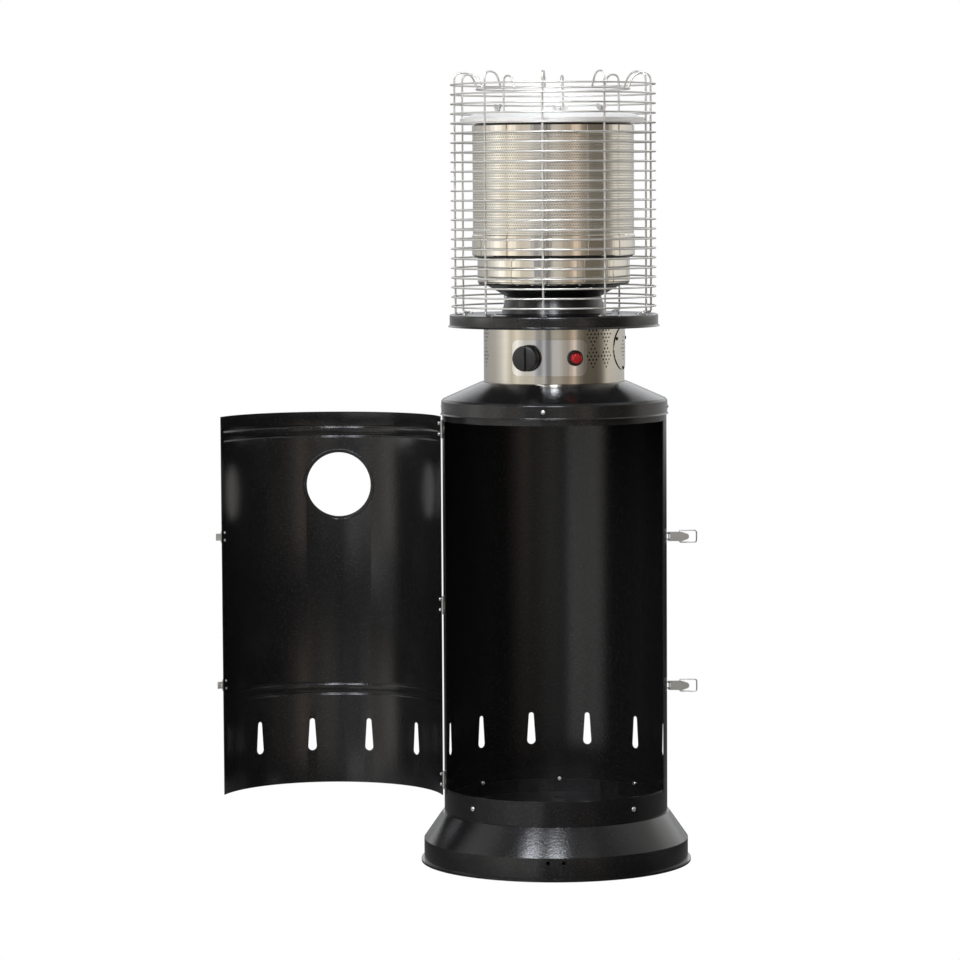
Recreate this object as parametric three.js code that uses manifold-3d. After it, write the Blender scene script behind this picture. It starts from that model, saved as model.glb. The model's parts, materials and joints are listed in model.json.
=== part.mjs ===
// Cabinet patio heater with a half-round door, an infrared burner and a wire guard.
// Millimetres, +Z up, floor at z = 0. The front faces -Y and the door hangs on the left, at -X.
// Azimuths are degrees from the front, growing towards the right-hand side (+X).

import * as THREE from 'three';
import { mergeVertices } from 'three/addons/utils/BufferGeometryUtils.js';
import Module from 'manifold-3d';

const wasm = await Module();
wasm.setup();

// Sheet, clearances and facets
const sheet = 1.2;
const seatGap = 0.3;
const runGap = 0.35;
const passGap = 0.7;
const overrun = 3;
const weldDistance = 0.0001;
const drumSides = 32;
const burnerSides = 28;
const dishSides = 24;
const smallSides = 12;
const pinSides = 8;
const wireSides = 6;
const guardWireSides = 3;
const bendSteps = 2;
const curveSteps = 2;
const earSteps = 3;
const cornerSteps = 4;

// Base pan
const lipReach = 5;
const lipHeight = 4;
const skirtReach = 35;
const skirtTop = 39;
const ledgeReach = 3;
const ledgeRise = 46;
const collarHeight = 42;
const strapHoleRadius = 3;
const strapHoleDrop = 8;
const strapHolePitch = 26;
const strapHoleAzimuth = 1.9;

// Bottle tray
const trayFlange = 24;
const trayHoleRadius = 11;
const trayHoleCircle = 120;
const trayHoleCount = 4;

// Body shell and its vent slots
const bodyRadius = 190;
const bodyHeight = 700.7;
const openingHalfAngle = 76.5;
const openingSill = 39.7;
const openingHead = 34;
const slotHeight = 56;
const slotHeadRadius = 4.5;
const slotFootRadius = 7.5;
const slotRise = 113.7;
const slotPitch = 30;
const backAzimuth = 180;
const bodySlotCount = 6;
const doorSlotCount = 4;

// Shoulder cover
const rimClearance = 0.4;
const rimLip = 2;
const rimSkirt = 25.5;
const rimLipHeight = 2.5;
const shoulderRise = 29.7;
const shoulderShelf = 7.4;
const shoulderFlat = 5;
const shoulderCollar = 15;

// Control band
const bandRadius = 119;
const bandHeight = 112;
const bandFlange = 9;

// Control plate, knob and igniter places
const plateAzimuth = -2.3;
const plateWidth = 124;
const plateHeight = 60;
const plateCorner = 10;
const knobAzimuth = -18.2;
const igniterAzimuth = 18.7;

// Knob, bezel and valve
const bezelRadius = 22.2;
const bezelDepth = 4;
const bezelHoleRadius = 8;
const knobRadius = 21.5;
const knobDepth = 15.5;
const knobChamfer = 1.5;
const knobTravel = 4;
const knobStandoff = 0.6;
const gripWidth = 7;
const gripHeight = 5;
const gripTaper = 2;
const stemRadius = 3;
const stemGrip = 9;
const stemHoleRadius = 6.5;
const valveWidth = 32;
const valveHeight = 36;
const valveDepth = 32;
const valveBossRadius = 10;
const valveBossLength = 6;
const plugRadius = 6;
const plugLength = 20;
const plugEnd = 2;
const stemInPlug = 9;

// Gas inlet, feed pipe, jet and burner tube
const nippleRadius = 4.5;
const nippleBore = 2.4;
const nippleBarbLength = 5;
const nippleNutRadius = 8;
const nippleNutHeight = 9;
const nippleBarbs = 3;
const feedRadius = 4;
const feedDrop = 9;
const feedBend = 12;
const jetFlange = 3;
const jetRadius = 6;
const jetLength = 12;
const jetTipRadius = 3;
const jetTipLength = 7;
const tubeRadius = 17;
const tubeRise = 26;
const tubeWall = 1.8;
const tubeFlangeLap = 8;
const tubeAirHoleRadius = 6;
const tubeAirHoleRise = 18;

// Pilot and thermocouple
const riserRadius = 2;
const riserInset = 10;
const riserSpread = 6;
const riserKnee = 16;
const riserBend = 10;
const riserRise = 77;
const pilotHoodRadius = 5;
const pilotHoodHeight = 16;

// Tilt switch
const tiltWidth = 18;
const tiltDepth = 12;
const tiltHeight = 28;
const tiltAzimuth = 140;

// Igniter
const igniterRadius = 10.2;
const igniterDepth = 34;
const igniterNutRadius = 13.2;
const igniterNutDepth = 5;
const buttonRadius = 8.8;
const buttonTravel = 6;
const buttonProud = 10.5;
const buttonDome = 2;
const buttonGrip = 5;
const buttonStop = 1;

// Access cover
const coverRadius = 37;
const coverAzimuth = 77;
const coverLap = 9;

// Flange plate
const flangeMargin = 7.4;
const flangeDrop = 21;
const flangeFlare = 3;
const flangeFlareHeight = 3.4;
const flangeRound = 2.6;
const flangeHoleInset = 26.5;

// Burner neck, dish and bowl
const bowlRadius = 128.6;
const neckInset = 48.6;
const neckTaper = 8.5;
const neckHeight = 30;
const neckFlange = 10;
const dishLap = 6;
const dishRimInset = 1.6;
const dishRimWidth = 15;
const dishRise = 17.5;
const dishRimRise = 2;
const dishSlotCount = 24;
const dishSlotWidth = 5;
const dishSlotInset = 3;
const dishSlotLength = 16;
const bowlRound = 3.4;
const bowlHeight = 47;
const bowlFlange = 12;

// Emitter, cap and reflector
const emitterReach = 7.4;
const emitterHeight = 218;
const emitterFoot = 34;
const emitterFootProud = 1.6;
const emitterHeadHeight = 13;
const emitterHeadProud = 0.8;
const emitterFlange = 15;
const capInset = 5;
const capHeight = 4.5;
const capFlange = 3;
const studInset = 21.4;
const studCount = 3;
const studAzimuth = 55.2;
const studRadius = 2.5;
const studProud = 3;
const spacerRadius = 4.5;
const reflectorOverhang = 21;
const reflectorRim = 6;
const reflectorRise = 10;
const reflectorSlopeRun = 35;
const reflectorGap = 1.3;
const wingHubRadius = 5;
const wingHubHeight = 6;
const wingSpan = 26;
const wingHeight = 12;
const wingThickness = 2.4;

// Wire guard
const guardPostCount = 10;
const guardClearance = 12;
const guardPostAzimuth = -3.9;
const guardRingCount = 24;
const guardRingSides = 20;
const guardWire = 1.9;
const guardPostWire = 2;
const guardBite = 0.55;
const guardFirstRing = 13.5;
const guardHeadroom = 45.9;
const guardArchRise = 19;
const guardArchRun = 14;
const guardTopRingInset = 40;
const guardTopRingDrop = 8;
const guardFootLength = 13;
const guardFootBend = 4;

// Door
const doorClearance = 0.5;
const doorHingeEdge = 76.6;
const doorFreeEdge = 77.5;
const doorLap = 10;
const doorHeadGap = 2;
const doorOpenAngle = 180;
const beadHeight = 6;
const beadDepth = 2;
const beadHalfAngle = 73.5;
const beadFadeAngle = 1.5;
const lowBeadRise = 156;
const lowBeadPitch = 17;
const topBeadDrop = 25;
const topBeadPitch = 16;
const portRadius = 56;
const portDrop = 126;
const portLipWall = 2;
const portLipDepth = 4;

// Door hinges
const hingeAzimuth = -77.6;
const hingeOffset = 2.9;
const hingeRise = 26;
const hingeDrop = 22;
const hingeLength = 30;
const knuckleRadius = 2.5;
const hingePinRadius = 1.3;
const hingePinHead = 0.8;
const leafWidth = 12;
const knuckleShares = [0, 0.3, 0.7, 1];

// Latches on the body's right-hand side and their strikes on the door
const latchRise = 188;
const latchDrop = 204;
const latchAzimuth = 80.5;
const latchStandoff = 6.5;
const latchPlateLead = 2.6;
const latchPlateSpan = 5.2;
const latchPlateHeight = 22;
const earRadius = 3.6;
const earThickness = 1.5;
const earInner = 4.3;
const earHoleRadius = 2.1;
const leverLength = 22;
const leverHeight = 15.6;
const leverSheet = 1.2;
const leverCheekRadius = 2.2;
const leverWebOffset = 4;
const leverWebStart = 2;
const thumbLength = 12;
const thumbRadius = 5.4;
const leverPinRadius = 1.3;
const bailPivot = 18.2;
const bailLength = 28.5;
const bailHalfHeight = 10.1;
const bailWire = 1.1;
const bailCorner = 4;
const bailHoleRadius = 1.5;
const bailStub = 3.6;
const bailStubBend = 1.8;
const strikeWidth = 20;
const strikeHeight = 20;
const strikeHookHeight = 12;
const strikeHookGap = 0.4;

// Shares that shape small outlines, and places as shares of the control band's height
const skirtBendShare = 0.45;
const barbShare = 0.8;
const controlShare = 0.3884;
const coverShare = 0.5045;
const tiltShare = 0.558;

// Sizes that follow from the ones above
const degree = Math.PI / 180;
const skirtRadius = bodyRadius + skirtReach;
const lipRadius = skirtRadius + lipReach;
const ledgeRadius = bodyRadius + ledgeReach;
const ledgeHeight = skirtTop + ledgeRise;
const strapHoleHeight = skirtTop - strapHoleDrop;
const collarRadius = bodyRadius - sheet - seatGap;
const collarTop = ledgeHeight + collarHeight;
const bodyBottom = ledgeHeight + seatGap;
const bodyTop = bodyBottom + bodyHeight;
const openingBottom = bodyBottom + openingSill;
const openingTop = bodyTop - openingHead;
const slotMiddle = bodyBottom + slotRise;
const trayRadius = collarRadius - sheet - seatGap;
const trayBottom = ledgeHeight + seatGap;
const openingFace = bodyRadius * Math.cos(openingHalfAngle * degree);
const doorInner = bodyRadius + doorClearance;
const doorOuter = doorInner + sheet;
const rimInner = bodyRadius + rimClearance;
const rimOuter = rimInner + sheet;
const rimTop = bodyTop + seatGap + sheet;
const rimLipBottom = rimTop - rimSkirt;
const shoulderTop = rimTop + shoulderRise;
const bandInner = bandRadius - sheet;
const bandBottom = shoulderTop + seatGap;
const bandTop = bandBottom + bandHeight;
const controlHeight = bandBottom + controlShare * bandHeight;
const coverHeight = bandBottom + coverShare * bandHeight;
const tiltMiddle = bandBottom + tiltShare * bandHeight;
const accessHoleRadius = coverRadius - coverLap;
const plateInner = bandRadius + seatGap;
const plateOuter = plateInner + sheet;
const bezelInner = plateOuter + seatGap;
const bezelFace = bezelInner + bezelDepth;
const knobBack = bezelFace + knobStandoff + knobTravel;
const knobFace = knobBack + knobDepth;
const valveFace = bandInner - seatGap - valveBossLength;
const valveBack = valveFace - valveDepth;
const valveMiddle = (valveFace + valveBack) / 2;
const plugFront = valveFace - sheet;
const plugBack = plugFront - plugLength;
const plugSocketDepth = stemInPlug + knobTravel + plugEnd;
const feedHeight = controlHeight - feedDrop;
const jetBottom = feedHeight + feedBend + seatGap;
const tubeBottom = jetBottom + jetFlange + seatGap;
const igniterFace = bezelInner + igniterNutDepth;
const buttonSocket = buttonGrip + buttonTravel + buttonStop;
const flangeTop = bandTop + seatGap + sheet;
const flangeUnder = flangeTop - sheet;
const neckTopRadius = bowlRadius - neckInset;
const neckFootRadius = neckTopRadius + neckTaper;
const neckBottom = flangeTop + seatGap;
const neckTop = neckBottom + neckHeight;
const flangeHoleRadius = neckFootRadius - flangeHoleInset;
const tubeFlangeRadius = flangeHoleRadius + tubeFlangeLap;
const tubeTop = flangeTop + tubeRise;
const riserCircle = flangeHoleRadius - riserInset;
const riserTop = flangeTop + riserRise;
const dishInnerRadius = neckTopRadius - dishLap;
const dishOuterRadius = bowlRadius - dishRimInset;
const dishKneeRadius = dishOuterRadius - dishRimWidth;
const dishSlotOuter = dishKneeRadius - dishSlotInset;
const dishSlotInner = dishSlotOuter - dishSlotLength;
const dishBottom = neckTop + seatGap;
const dishKnee = dishBottom + dishRise;
const bowlBottom = dishKnee + dishRimRise + sheet + seatGap;
const bowlTop = bowlBottom + bowlHeight;
const emitterRadius = bowlRadius + emitterReach;
const emitterFlangeRadius = emitterRadius - emitterFlange;
const emitterBottom = bowlTop + seatGap;
const emitterTop = emitterBottom + emitterHeight;
const capWallRadius = emitterRadius - capInset;
const capBottom = emitterTop + seatGap;
const capTop = capBottom + capHeight;
const reflectorBottom = capTop + reflectorGap;
const reflectorTop = reflectorBottom + reflectorRim + reflectorRise + sheet;
const reflectorRadius = emitterRadius + reflectorOverhang;
const reflectorFlatRadius = reflectorRadius - reflectorSlopeRun;
const studCircle = reflectorFlatRadius - studInset;
const guardPostRadius = reflectorRadius + guardClearance;
const flangeRadius = guardPostRadius + flangeMargin;
const guardTopRingRadius = guardPostRadius - guardTopRingInset;
const guardRingRadius = guardPostRadius + guardPostWire + guardWire - guardBite;
const guardFloor = flangeTop + seatGap + guardPostWire;
const guardTop = reflectorTop + guardHeadroom;
const guardTopRingHeight = guardTop - guardTopRingDrop;
const guardRingPitch = (guardTop - flangeTop - guardFirstRing) / (guardRingCount - 1);
const doorBottom = openingBottom - doorLap;
const doorTop = rimLipBottom - doorHeadGap;
const beadHeights = [
  doorBottom + lowBeadRise,
  doorBottom + lowBeadRise + lowBeadPitch,
  doorTop - topBeadDrop - topBeadPitch,
  doorTop - topBeadDrop,
];
const portHeight = doorTop - portDrop;
const portReach = portRadius + portLipWall + overrun;
const wallReach = (doorOuter + portLipDepth) / Math.cos(Math.PI / drumSides) + overrun;
const hingeLow = doorBottom + hingeRise;
const hingeHigh = doorTop - hingeDrop;
const hingeHeights = [hingeLow, (hingeLow + hingeHigh) / 2, hingeHigh];
const latchHeights = [doorBottom + latchRise, doorTop - latchDrop];
const hingeRadius = bodyRadius + hingeOffset;
const hingeX = hingeRadius * Math.sin(hingeAzimuth * degree);
const hingeY = -hingeRadius * Math.cos(hingeAzimuth * degree);
const latchRadius = bodyRadius + latchStandoff;
const latchX = latchRadius * Math.sin(latchAzimuth * degree);
const latchY = -latchRadius * Math.cos(latchAzimuth * degree);
const strikeTip = latchX + bailWire + leverSheet + strikeHookGap;
const hookFace = latchY + bailPivot - bailLength + bailWire + strikeHookGap;
const standX = (strikeTip - 2 * hingeX - latchX - bailPivot - bailLength - bailWire) / 2;

// Finishes, from the colours the object shows
const blackCoat = finish(0x1c1c1e, 0.38, 0.3);
const darkSteel = finish(0x2a2a2b, 0.45, 0.6);
const stainless = finish(0xb8b1a4, 0.22, 1);
const mirrorPlate = finish(0xd6d6d4, 0.08, 1);
const paleAluminium = finish(0xe4e4e2, 0.4, 0.8);
const guardSteel = finish(0xcfccc6, 0.25, 1);
const zinc = finish(0xaeb0b2, 0.35, 0.9);
const brass = finish(0xb3904a, 0.3, 1);
const blackPlastic = finish(0x222224, 0.55, 0);
const redPlastic = finish(0xc01c2a, 0.3, 0);

function finish(color, roughness, metalness) {
  return new THREE.MeshStandardMaterial({ color, roughness, metalness });
}

// A closed geometry as a solid for joins and cuts
function solid(geometry) {
  const bare = new THREE.BufferGeometry();
  bare.setAttribute('position', geometry.getAttribute('position'));
  bare.setIndex(geometry.getIndex());
  const merged = mergeVertices(bare, weldDistance);
  const corners = merged.getIndex().array;
  const kept = [];
  for (let i = 0; i < corners.length; i += 3) {
    const [a, b, c] = corners.slice(i, i + 3);
    if (a !== b && b !== c && c !== a) kept.push(a, b, c);
  }
  return new wasm.Manifold(new wasm.Mesh({
    numProp: 3,
    vertProperties: new Float32Array(merged.getAttribute('position').array),
    triVerts: new Uint32Array(kept),
  }));
}

// A solid's surface as a geometry
function surface(body) {
  const mesh = body.getMesh();
  const geometry = new THREE.BufferGeometry();
  geometry.setAttribute('position', new THREE.BufferAttribute(mesh.vertProperties, 3));
  geometry.setIndex(new THREE.BufferAttribute(mesh.triVerts, 1));
  geometry.computeVertexNormals();
  return geometry;
}

function join(...geometries) {
  return geometries.map(solid).reduce((whole, next) => whole.add(next));
}

function cut(body, ...geometries) {
  return geometries.map(solid).reduce((whole, next) => whole.subtract(next), body);
}

function piece(name, shape, material) {
  const geometry = shape instanceof wasm.Manifold ? surface(shape) : shape;
  const mesh = new THREE.Mesh(geometry, material);
  mesh.name = name;
  return mesh;
}

// A profile of [radius, height] points turned round the Z axis
function revolve(profile, sides = drumSides) {
  const points = profile.map(([radius, height]) => new THREE.Vector2(radius, height));
  if (THREE.ShapeUtils.area(points) < 0) points.reverse();
  if (profile[0][0] > 0) points.push(points[0].clone());
  return new THREE.LatheGeometry(points, sides).rotateX(Math.PI / 2);
}

// A rod or tube along Z between two heights
function rod(radius, bottom, top, sides = smallSides) {
  return revolve([[0, bottom], [radius, bottom], [radius, top], [0, top]], sides);
}

function prism(shape, bottom, top, curveSegments = curveSteps) {
  const depth = top - bottom;
  const settings = { depth, bevelEnabled: false, curveSegments };
  return new THREE.ExtrudeGeometry(shape, settings).translate(0, 0, bottom);
}

function block(width, depth, height) {
  return new THREE.BoxGeometry(width, depth, height);
}

// A geometry made upright, laid so that its +Z points out along an azimuth at a height
function outward(geometry, azimuth, height) {
  return geometry.rotateX(Math.PI / 2).translate(0, 0, height).rotateZ(azimuth * degree);
}

// A path through points, with one step from each point to the next
class WirePath extends THREE.Curve {
  constructor(points) {
    super();
    this.points = points;
  }

  getPoint(share, target = new THREE.Vector3()) {
    const place = share * (this.points.length - 1);
    const from = Math.min(Math.floor(place), this.points.length - 2);
    return target.lerpVectors(this.points[from], this.points[from + 1], place - from);
  }

  getPointAt(share, target) {
    return this.getPoint(share, target);
  }

  getTangentAt(share, target = new THREE.Vector3()) {
    const last = this.points.length - 2;
    const nearest = Math.round(share * (last + 1));
    const before = this.direction(Math.max(nearest - 1, 0));
    const after = this.direction(Math.min(nearest, last));
    return target.addVectors(before, after).normalize();
  }

  direction(from) {
    return new THREE.Vector3().subVectors(this.points[from + 1], this.points[from]).normalize();
  }
}

// The points of a path whose inner corners are rounded off, each by its own reach
function bentPath(corners, reaches) {
  const points = [corners[0]];
  for (let i = 1; i < corners.length - 1; i += 1) {
    const corner = corners[i];
    const reach = reaches[i - 1];
    const ends = [corners[i - 1], corners[i + 1]].map((next) => {
      const step = new THREE.Vector3().subVectors(next, corner).setLength(reach);
      return step.add(corner);
    });
    points.push(...new THREE.QuadraticBezierCurve3(ends[0], corner, ends[1]).getPoints(bendSteps));
  }
  points.push(corners[corners.length - 1]);
  return points;
}

// A rod of an even-sided section that follows the points of a path
function wire(points, radius, sides = wireSides) {
  const corners = [];
  for (let i = 0; i < sides; i += 1) {
    const turn = 2 * Math.PI * i / sides;
    corners.push(new THREE.Vector2(radius * Math.cos(turn), radius * Math.sin(turn)));
  }
  const settings = { steps: points.length - 1, extrudePath: new WirePath(points), bevelEnabled: false };
  return new THREE.ExtrudeGeometry(new THREE.Shape(corners), settings);
}

// The radius of a faceted drum at an azimuth
function facetRadius(radius, azimuth) {
  const step = 360 / drumSides;
  const middle = (Math.floor(azimuth / step) + 0.5) * step;
  return radius * Math.cos(step / 2 * degree) / Math.cos((azimuth - middle) * degree);
}

// The azimuths of a drum's facet edges between two azimuths, with both ends
function facetAzimuths(start, end) {
  const step = 360 / drumSides;
  const azimuths = [start];
  for (let k = Math.floor(start / step) + 1; k * step < end; k += 1) azimuths.push(k * step);
  azimuths.push(end);
  return azimuths;
}

// A point in plan, at a radius and azimuth
function planPoint(radius, azimuth) {
  return new THREE.Vector2(radius * Math.sin(azimuth * degree), -radius * Math.cos(azimuth * degree));
}

// The same point in space, at a height
function spacePoint(radius, azimuth, height) {
  const spot = planPoint(radius, azimuth);
  return new THREE.Vector3(spot.x, spot.y, height);
}

// A stretch of a faceted drum's wall, in plan
function wallShape(inner, outer, start, end) {
  const azimuths = facetAzimuths(start, end);
  const outside = azimuths.map((azimuth) => planPoint(facetRadius(outer, azimuth), azimuth));
  const inside = azimuths.map((azimuth) => planPoint(facetRadius(inner, azimuth), azimuth));
  return new THREE.Shape([...outside, ...inside.reverse()]);
}

function circleShape(radius) {
  return new THREE.Shape().absarc(0, 0, radius, 0, 2 * Math.PI, false);
}

function roundedShape(width, height, corner) {
  const x = width / 2 - corner;
  const y = height / 2 - corner;
  const shape = new THREE.Shape();
  shape.absarc(x, y, corner, 0, Math.PI / 2, false);
  shape.absarc(-x, y, corner, Math.PI / 2, Math.PI, false);
  shape.absarc(-x, -y, corner, Math.PI, 1.5 * Math.PI, false);
  shape.absarc(x, -y, corner, 1.5 * Math.PI, 2 * Math.PI, false);
  return shape;
}

// The tapered vent slot, with its narrow end up
function slotShape() {
  const shape = new THREE.Shape();
  shape.absarc(0, slotHeight / 2 - slotHeadRadius, slotHeadRadius, 0, Math.PI, false);
  shape.absarc(0, slotFootRadius - slotHeight / 2, slotFootRadius, Math.PI, 2 * Math.PI, false);
  return shape;
}

// Slot cutters spread evenly round one side, through a wall near a radius
function slotCutters(count, middleAzimuth) {
  const cutters = [];
  for (let i = 0; i < count; i += 1) {
    const azimuth = middleAzimuth + (i - (count - 1) / 2) * slotPitch;
    const cutter = prism(slotShape(), bodyRadius - sheet - overrun, doorOuter + overrun);
    cutters.push(outward(cutter, azimuth, slotMiddle));
  }
  return cutters;
}

function basePan() {
  const bend = sheet * skirtBendShare;
  const pan = solid(revolve([
    [lipRadius, 0],
    [lipRadius, lipHeight],
    [skirtRadius, lipHeight],
    [skirtRadius, skirtTop],
    [ledgeRadius, ledgeHeight],
    [collarRadius, ledgeHeight],
    [collarRadius, collarTop],
    [collarRadius - sheet, collarTop],
    [collarRadius - sheet, ledgeHeight - sheet],
    [ledgeRadius - bend, ledgeHeight - sheet],
    [skirtRadius - sheet, skirtTop - bend],
    [skirtRadius - sheet, 0],
  ]));
  const holes = [-1, 1].map((side) => {
    const turn = side * strapHolePitch / 2 / skirtRadius / degree;
    const hole = rod(strapHoleRadius, skirtRadius - sheet - overrun, skirtRadius + overrun, wireSides);
    return outward(hole, strapHoleAzimuth + turn, strapHoleHeight);
  });
  return piece('base_pan', cut(pan, ...holes), blackCoat);
}

function bottleTray() {
  const tray = solid(revolve([
    [0, trayBottom],
    [trayRadius, trayBottom],
    [trayRadius, trayBottom + trayFlange],
    [trayRadius - sheet, trayBottom + trayFlange],
    [trayRadius - sheet, trayBottom + sheet],
    [0, trayBottom + sheet],
  ]));
  const holes = [];
  for (let i = 0; i < trayHoleCount; i += 1) {
    const spot = planPoint(trayHoleCircle, 360 * i / trayHoleCount);
    const hole = rod(trayHoleRadius, trayBottom - overrun, trayBottom + sheet + overrun, pinSides);
    holes.push(hole.translate(spot.x, spot.y, 0));
  }
  return piece('bottle_tray', cut(tray, ...holes), darkSteel);
}

function bodyShell() {
  const shell = solid(revolve([
    [bodyRadius - sheet, bodyBottom],
    [bodyRadius, bodyBottom],
    [bodyRadius, bodyTop],
    [bodyRadius - sheet, bodyTop],
  ]));
  const opening = block(2 * (bodyRadius + overrun), bodyRadius, openingTop - openingBottom);
  opening.translate(0, -openingFace - bodyRadius / 2, (openingTop + openingBottom) / 2);
  return piece('body_shell', cut(shell, opening, ...slotCutters(bodySlotCount, backAzimuth)), blackCoat);
}

function shoulderCover() {
  const slopeTop = bandRadius + shoulderShelf;
  const collarOuter = bandInner - seatGap;
  const shape = revolve([
    [rimInner, rimLipBottom],
    [rimOuter + rimLip, rimLipBottom],
    [rimOuter, rimLipBottom + rimLipHeight],
    [rimOuter, rimTop],
    [slopeTop, shoulderTop - sheet],
    [slopeTop - shoulderFlat, shoulderTop],
    [collarOuter, shoulderTop],
    [collarOuter, shoulderTop + shoulderCollar],
    [collarOuter - sheet, shoulderTop + shoulderCollar],
    [collarOuter - sheet, shoulderTop - sheet],
    [slopeTop, shoulderTop - 2 * sheet],
    [rimInner, rimTop - sheet],
  ]);
  return piece('shoulder_cover', shape, blackCoat);
}

function controlBand() {
  const band = solid(revolve([
    [bandInner, bandBottom],
    [bandRadius, bandBottom],
    [bandRadius, bandTop],
    [bandInner - bandFlange, bandTop],
    [bandInner - bandFlange, bandTop - sheet],
    [bandInner, bandTop - sheet],
  ]));
  const inner = bandInner - overrun;
  const outer = bandRadius + overrun;
  const holes = [
    outward(rod(stemHoleRadius, inner, outer, smallSides), knobAzimuth, controlHeight),
    outward(rod(igniterRadius + runGap, inner, outer, smallSides), igniterAzimuth, controlHeight),
    outward(rod(accessHoleRadius, inner, outer, smallSides), coverAzimuth, coverHeight),
  ];
  return piece('control_band', cut(band, ...holes), stainless);
}

// A curved plate lying on the band, cut from a drum by a flat outline
function bandPlate(outline, azimuth, height) {
  const wall = solid(revolve([
    [plateInner, bandBottom],
    [plateOuter, bandBottom],
    [plateOuter, bandTop],
    [plateInner, bandTop],
  ]));
  const cutter = prism(outline, 0, plateOuter + overrun, cornerSteps);
  return wall.intersect(solid(outward(cutter, azimuth, height)));
}

function controlPlate() {
  const plate = bandPlate(roundedShape(plateWidth, plateHeight, plateCorner), plateAzimuth, controlHeight);
  const inner = bandInner - overrun;
  const outer = plateOuter + overrun;
  const holes = [
    outward(rod(stemHoleRadius, inner, outer, smallSides), knobAzimuth, controlHeight),
    outward(rod(igniterRadius + runGap, inner, outer, smallSides), igniterAzimuth, controlHeight),
  ];
  return piece('control_plate', cut(plate, ...holes), mirrorPlate);
}

function accessCover() {
  return piece('access_cover', bandPlate(circleShape(coverRadius), coverAzimuth, coverHeight), stainless);
}

// A drum that fills the band's height, to fit a piece to a curved wall
function fillDrum(radius) {
  return solid(rod(radius, bandBottom, bandTop, drumSides));
}

// A ring that stands on the curved control plate, with its back shaped to it
function plateRing(hole, radius, face, azimuth) {
  const ring = revolve([
    [hole, bandInner],
    [radius, bandInner],
    [radius, face],
    [hole, face],
  ], smallSides);
  return solid(outward(ring, azimuth, controlHeight)).subtract(fillDrum(bezelInner));
}

function knobBezel() {
  return piece('knob_bezel', plateRing(bezelHoleRadius, bezelRadius, bezelFace, knobAzimuth), blackPlastic);
}

function igniterNut() {
  const hole = igniterRadius + runGap;
  return piece('igniter_nut', plateRing(hole, igniterNutRadius, igniterFace, igniterAzimuth), blackPlastic);
}

// Pieces on the knob's axis, with +Z out of the panel and the origin on the heater's axis
function knob() {
  const socket = stemRadius + seatGap;
  const socketEnd = knobBack + stemGrip + seatGap;
  const head = revolve([
    [0, socketEnd],
    [socket, socketEnd],
    [socket, knobBack],
    [knobRadius, knobBack],
    [knobRadius, knobFace - knobChamfer],
    [knobRadius - knobChamfer, knobFace],
    [0, knobFace],
  ], dishSides);
  const grip = new THREE.Shape([
    new THREE.Vector2(-gripWidth / 2, -knobChamfer),
    new THREE.Vector2(gripWidth / 2, -knobChamfer),
    new THREE.Vector2((gripWidth - gripTaper) / 2, gripHeight),
    new THREE.Vector2((gripTaper - gripWidth) / 2, gripHeight),
  ]);
  const half = knobRadius - knobChamfer;
  const bar = prism(grip, -half, half).rotateX(Math.PI / 2).translate(0, 0, knobFace);
  return piece('knob', join(head, bar), blackPlastic);
}

function knobStem() {
  return piece('knob_stem', rod(stemRadius, plugFront - stemInPlug, knobBack + stemGrip, pinSides), zinc);
}

function valvePlug() {
  const plug = revolve([
    [0, plugBack],
    [plugRadius, plugBack],
    [plugRadius, plugFront],
    [stemRadius + runGap, plugFront],
    [stemRadius + runGap, plugFront - plugSocketDepth],
    [0, plugFront - plugSocketDepth],
  ], smallSides);
  return piece('valve_plug', plug, brass);
}

function valveBody() {
  const housing = block(valveWidth, valveHeight, valveDepth).translate(0, 0, valveMiddle);
  const boss = rod(valveBossRadius, valveMiddle, bandRadius);
  const bore = rod(plugRadius + runGap, plugBack - runGap, bandRadius + overrun);
  const body = solid(outward(housing, knobAzimuth, controlHeight));
  const turned = [boss, bore].map((shape) => solid(outward(shape, knobAzimuth, controlHeight)));
  const fitted = body.add(turned[0]).subtract(turned[1]).intersect(fillDrum(bandInner - seatGap));
  return piece('valve_body', fitted, paleAluminium);
}

// The barbed inlet that a gas hose pushes on to, under the valve
function gasInlet() {
  const top = controlHeight - valveHeight / 2 - seatGap;
  const nutBottom = top - nippleNutHeight;
  const profile = [[nippleBore, top], [nippleNutRadius, top], [nippleNutRadius, nutBottom]];
  for (let i = 0; i < nippleBarbs; i += 1) {
    const level = nutBottom - i * nippleBarbLength;
    profile.push([nippleRadius, level], [nippleRadius * barbShare, level - nippleBarbLength]);
  }
  profile.push([nippleBore, nutBottom - nippleBarbs * nippleBarbLength]);
  const spot = planPoint(valveMiddle, knobAzimuth);
  return piece('gas_inlet', revolve(profile, pinSides).translate(spot.x, spot.y, 0), brass);
}

// The pipe from the back of the valve to the jet on the axis
function feedPipe() {
  const path = bentPath([
    spacePoint(valveBack - seatGap, knobAzimuth, feedHeight),
    spacePoint(0, knobAzimuth, feedHeight),
    spacePoint(0, knobAzimuth, feedHeight + feedBend + seatGap / 2),
  ], [feedBend]);
  return piece('feed_pipe', wire(path, feedRadius, pinSides), brass);
}

function gasJet() {
  const shoulder = jetBottom + jetFlange + jetLength;
  const jet = revolve([
    [0, jetBottom + seatGap],
    [tubeRadius, jetBottom + seatGap],
    [tubeRadius, jetBottom + jetFlange],
    [jetRadius, jetBottom + jetFlange],
    [jetRadius, shoulder],
    [jetTipRadius, shoulder],
    [jetTipRadius, shoulder + jetTipLength],
    [0, shoulder + jetTipLength],
  ], pinSides);
  return piece('gas_jet', jet, brass);
}

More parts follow.
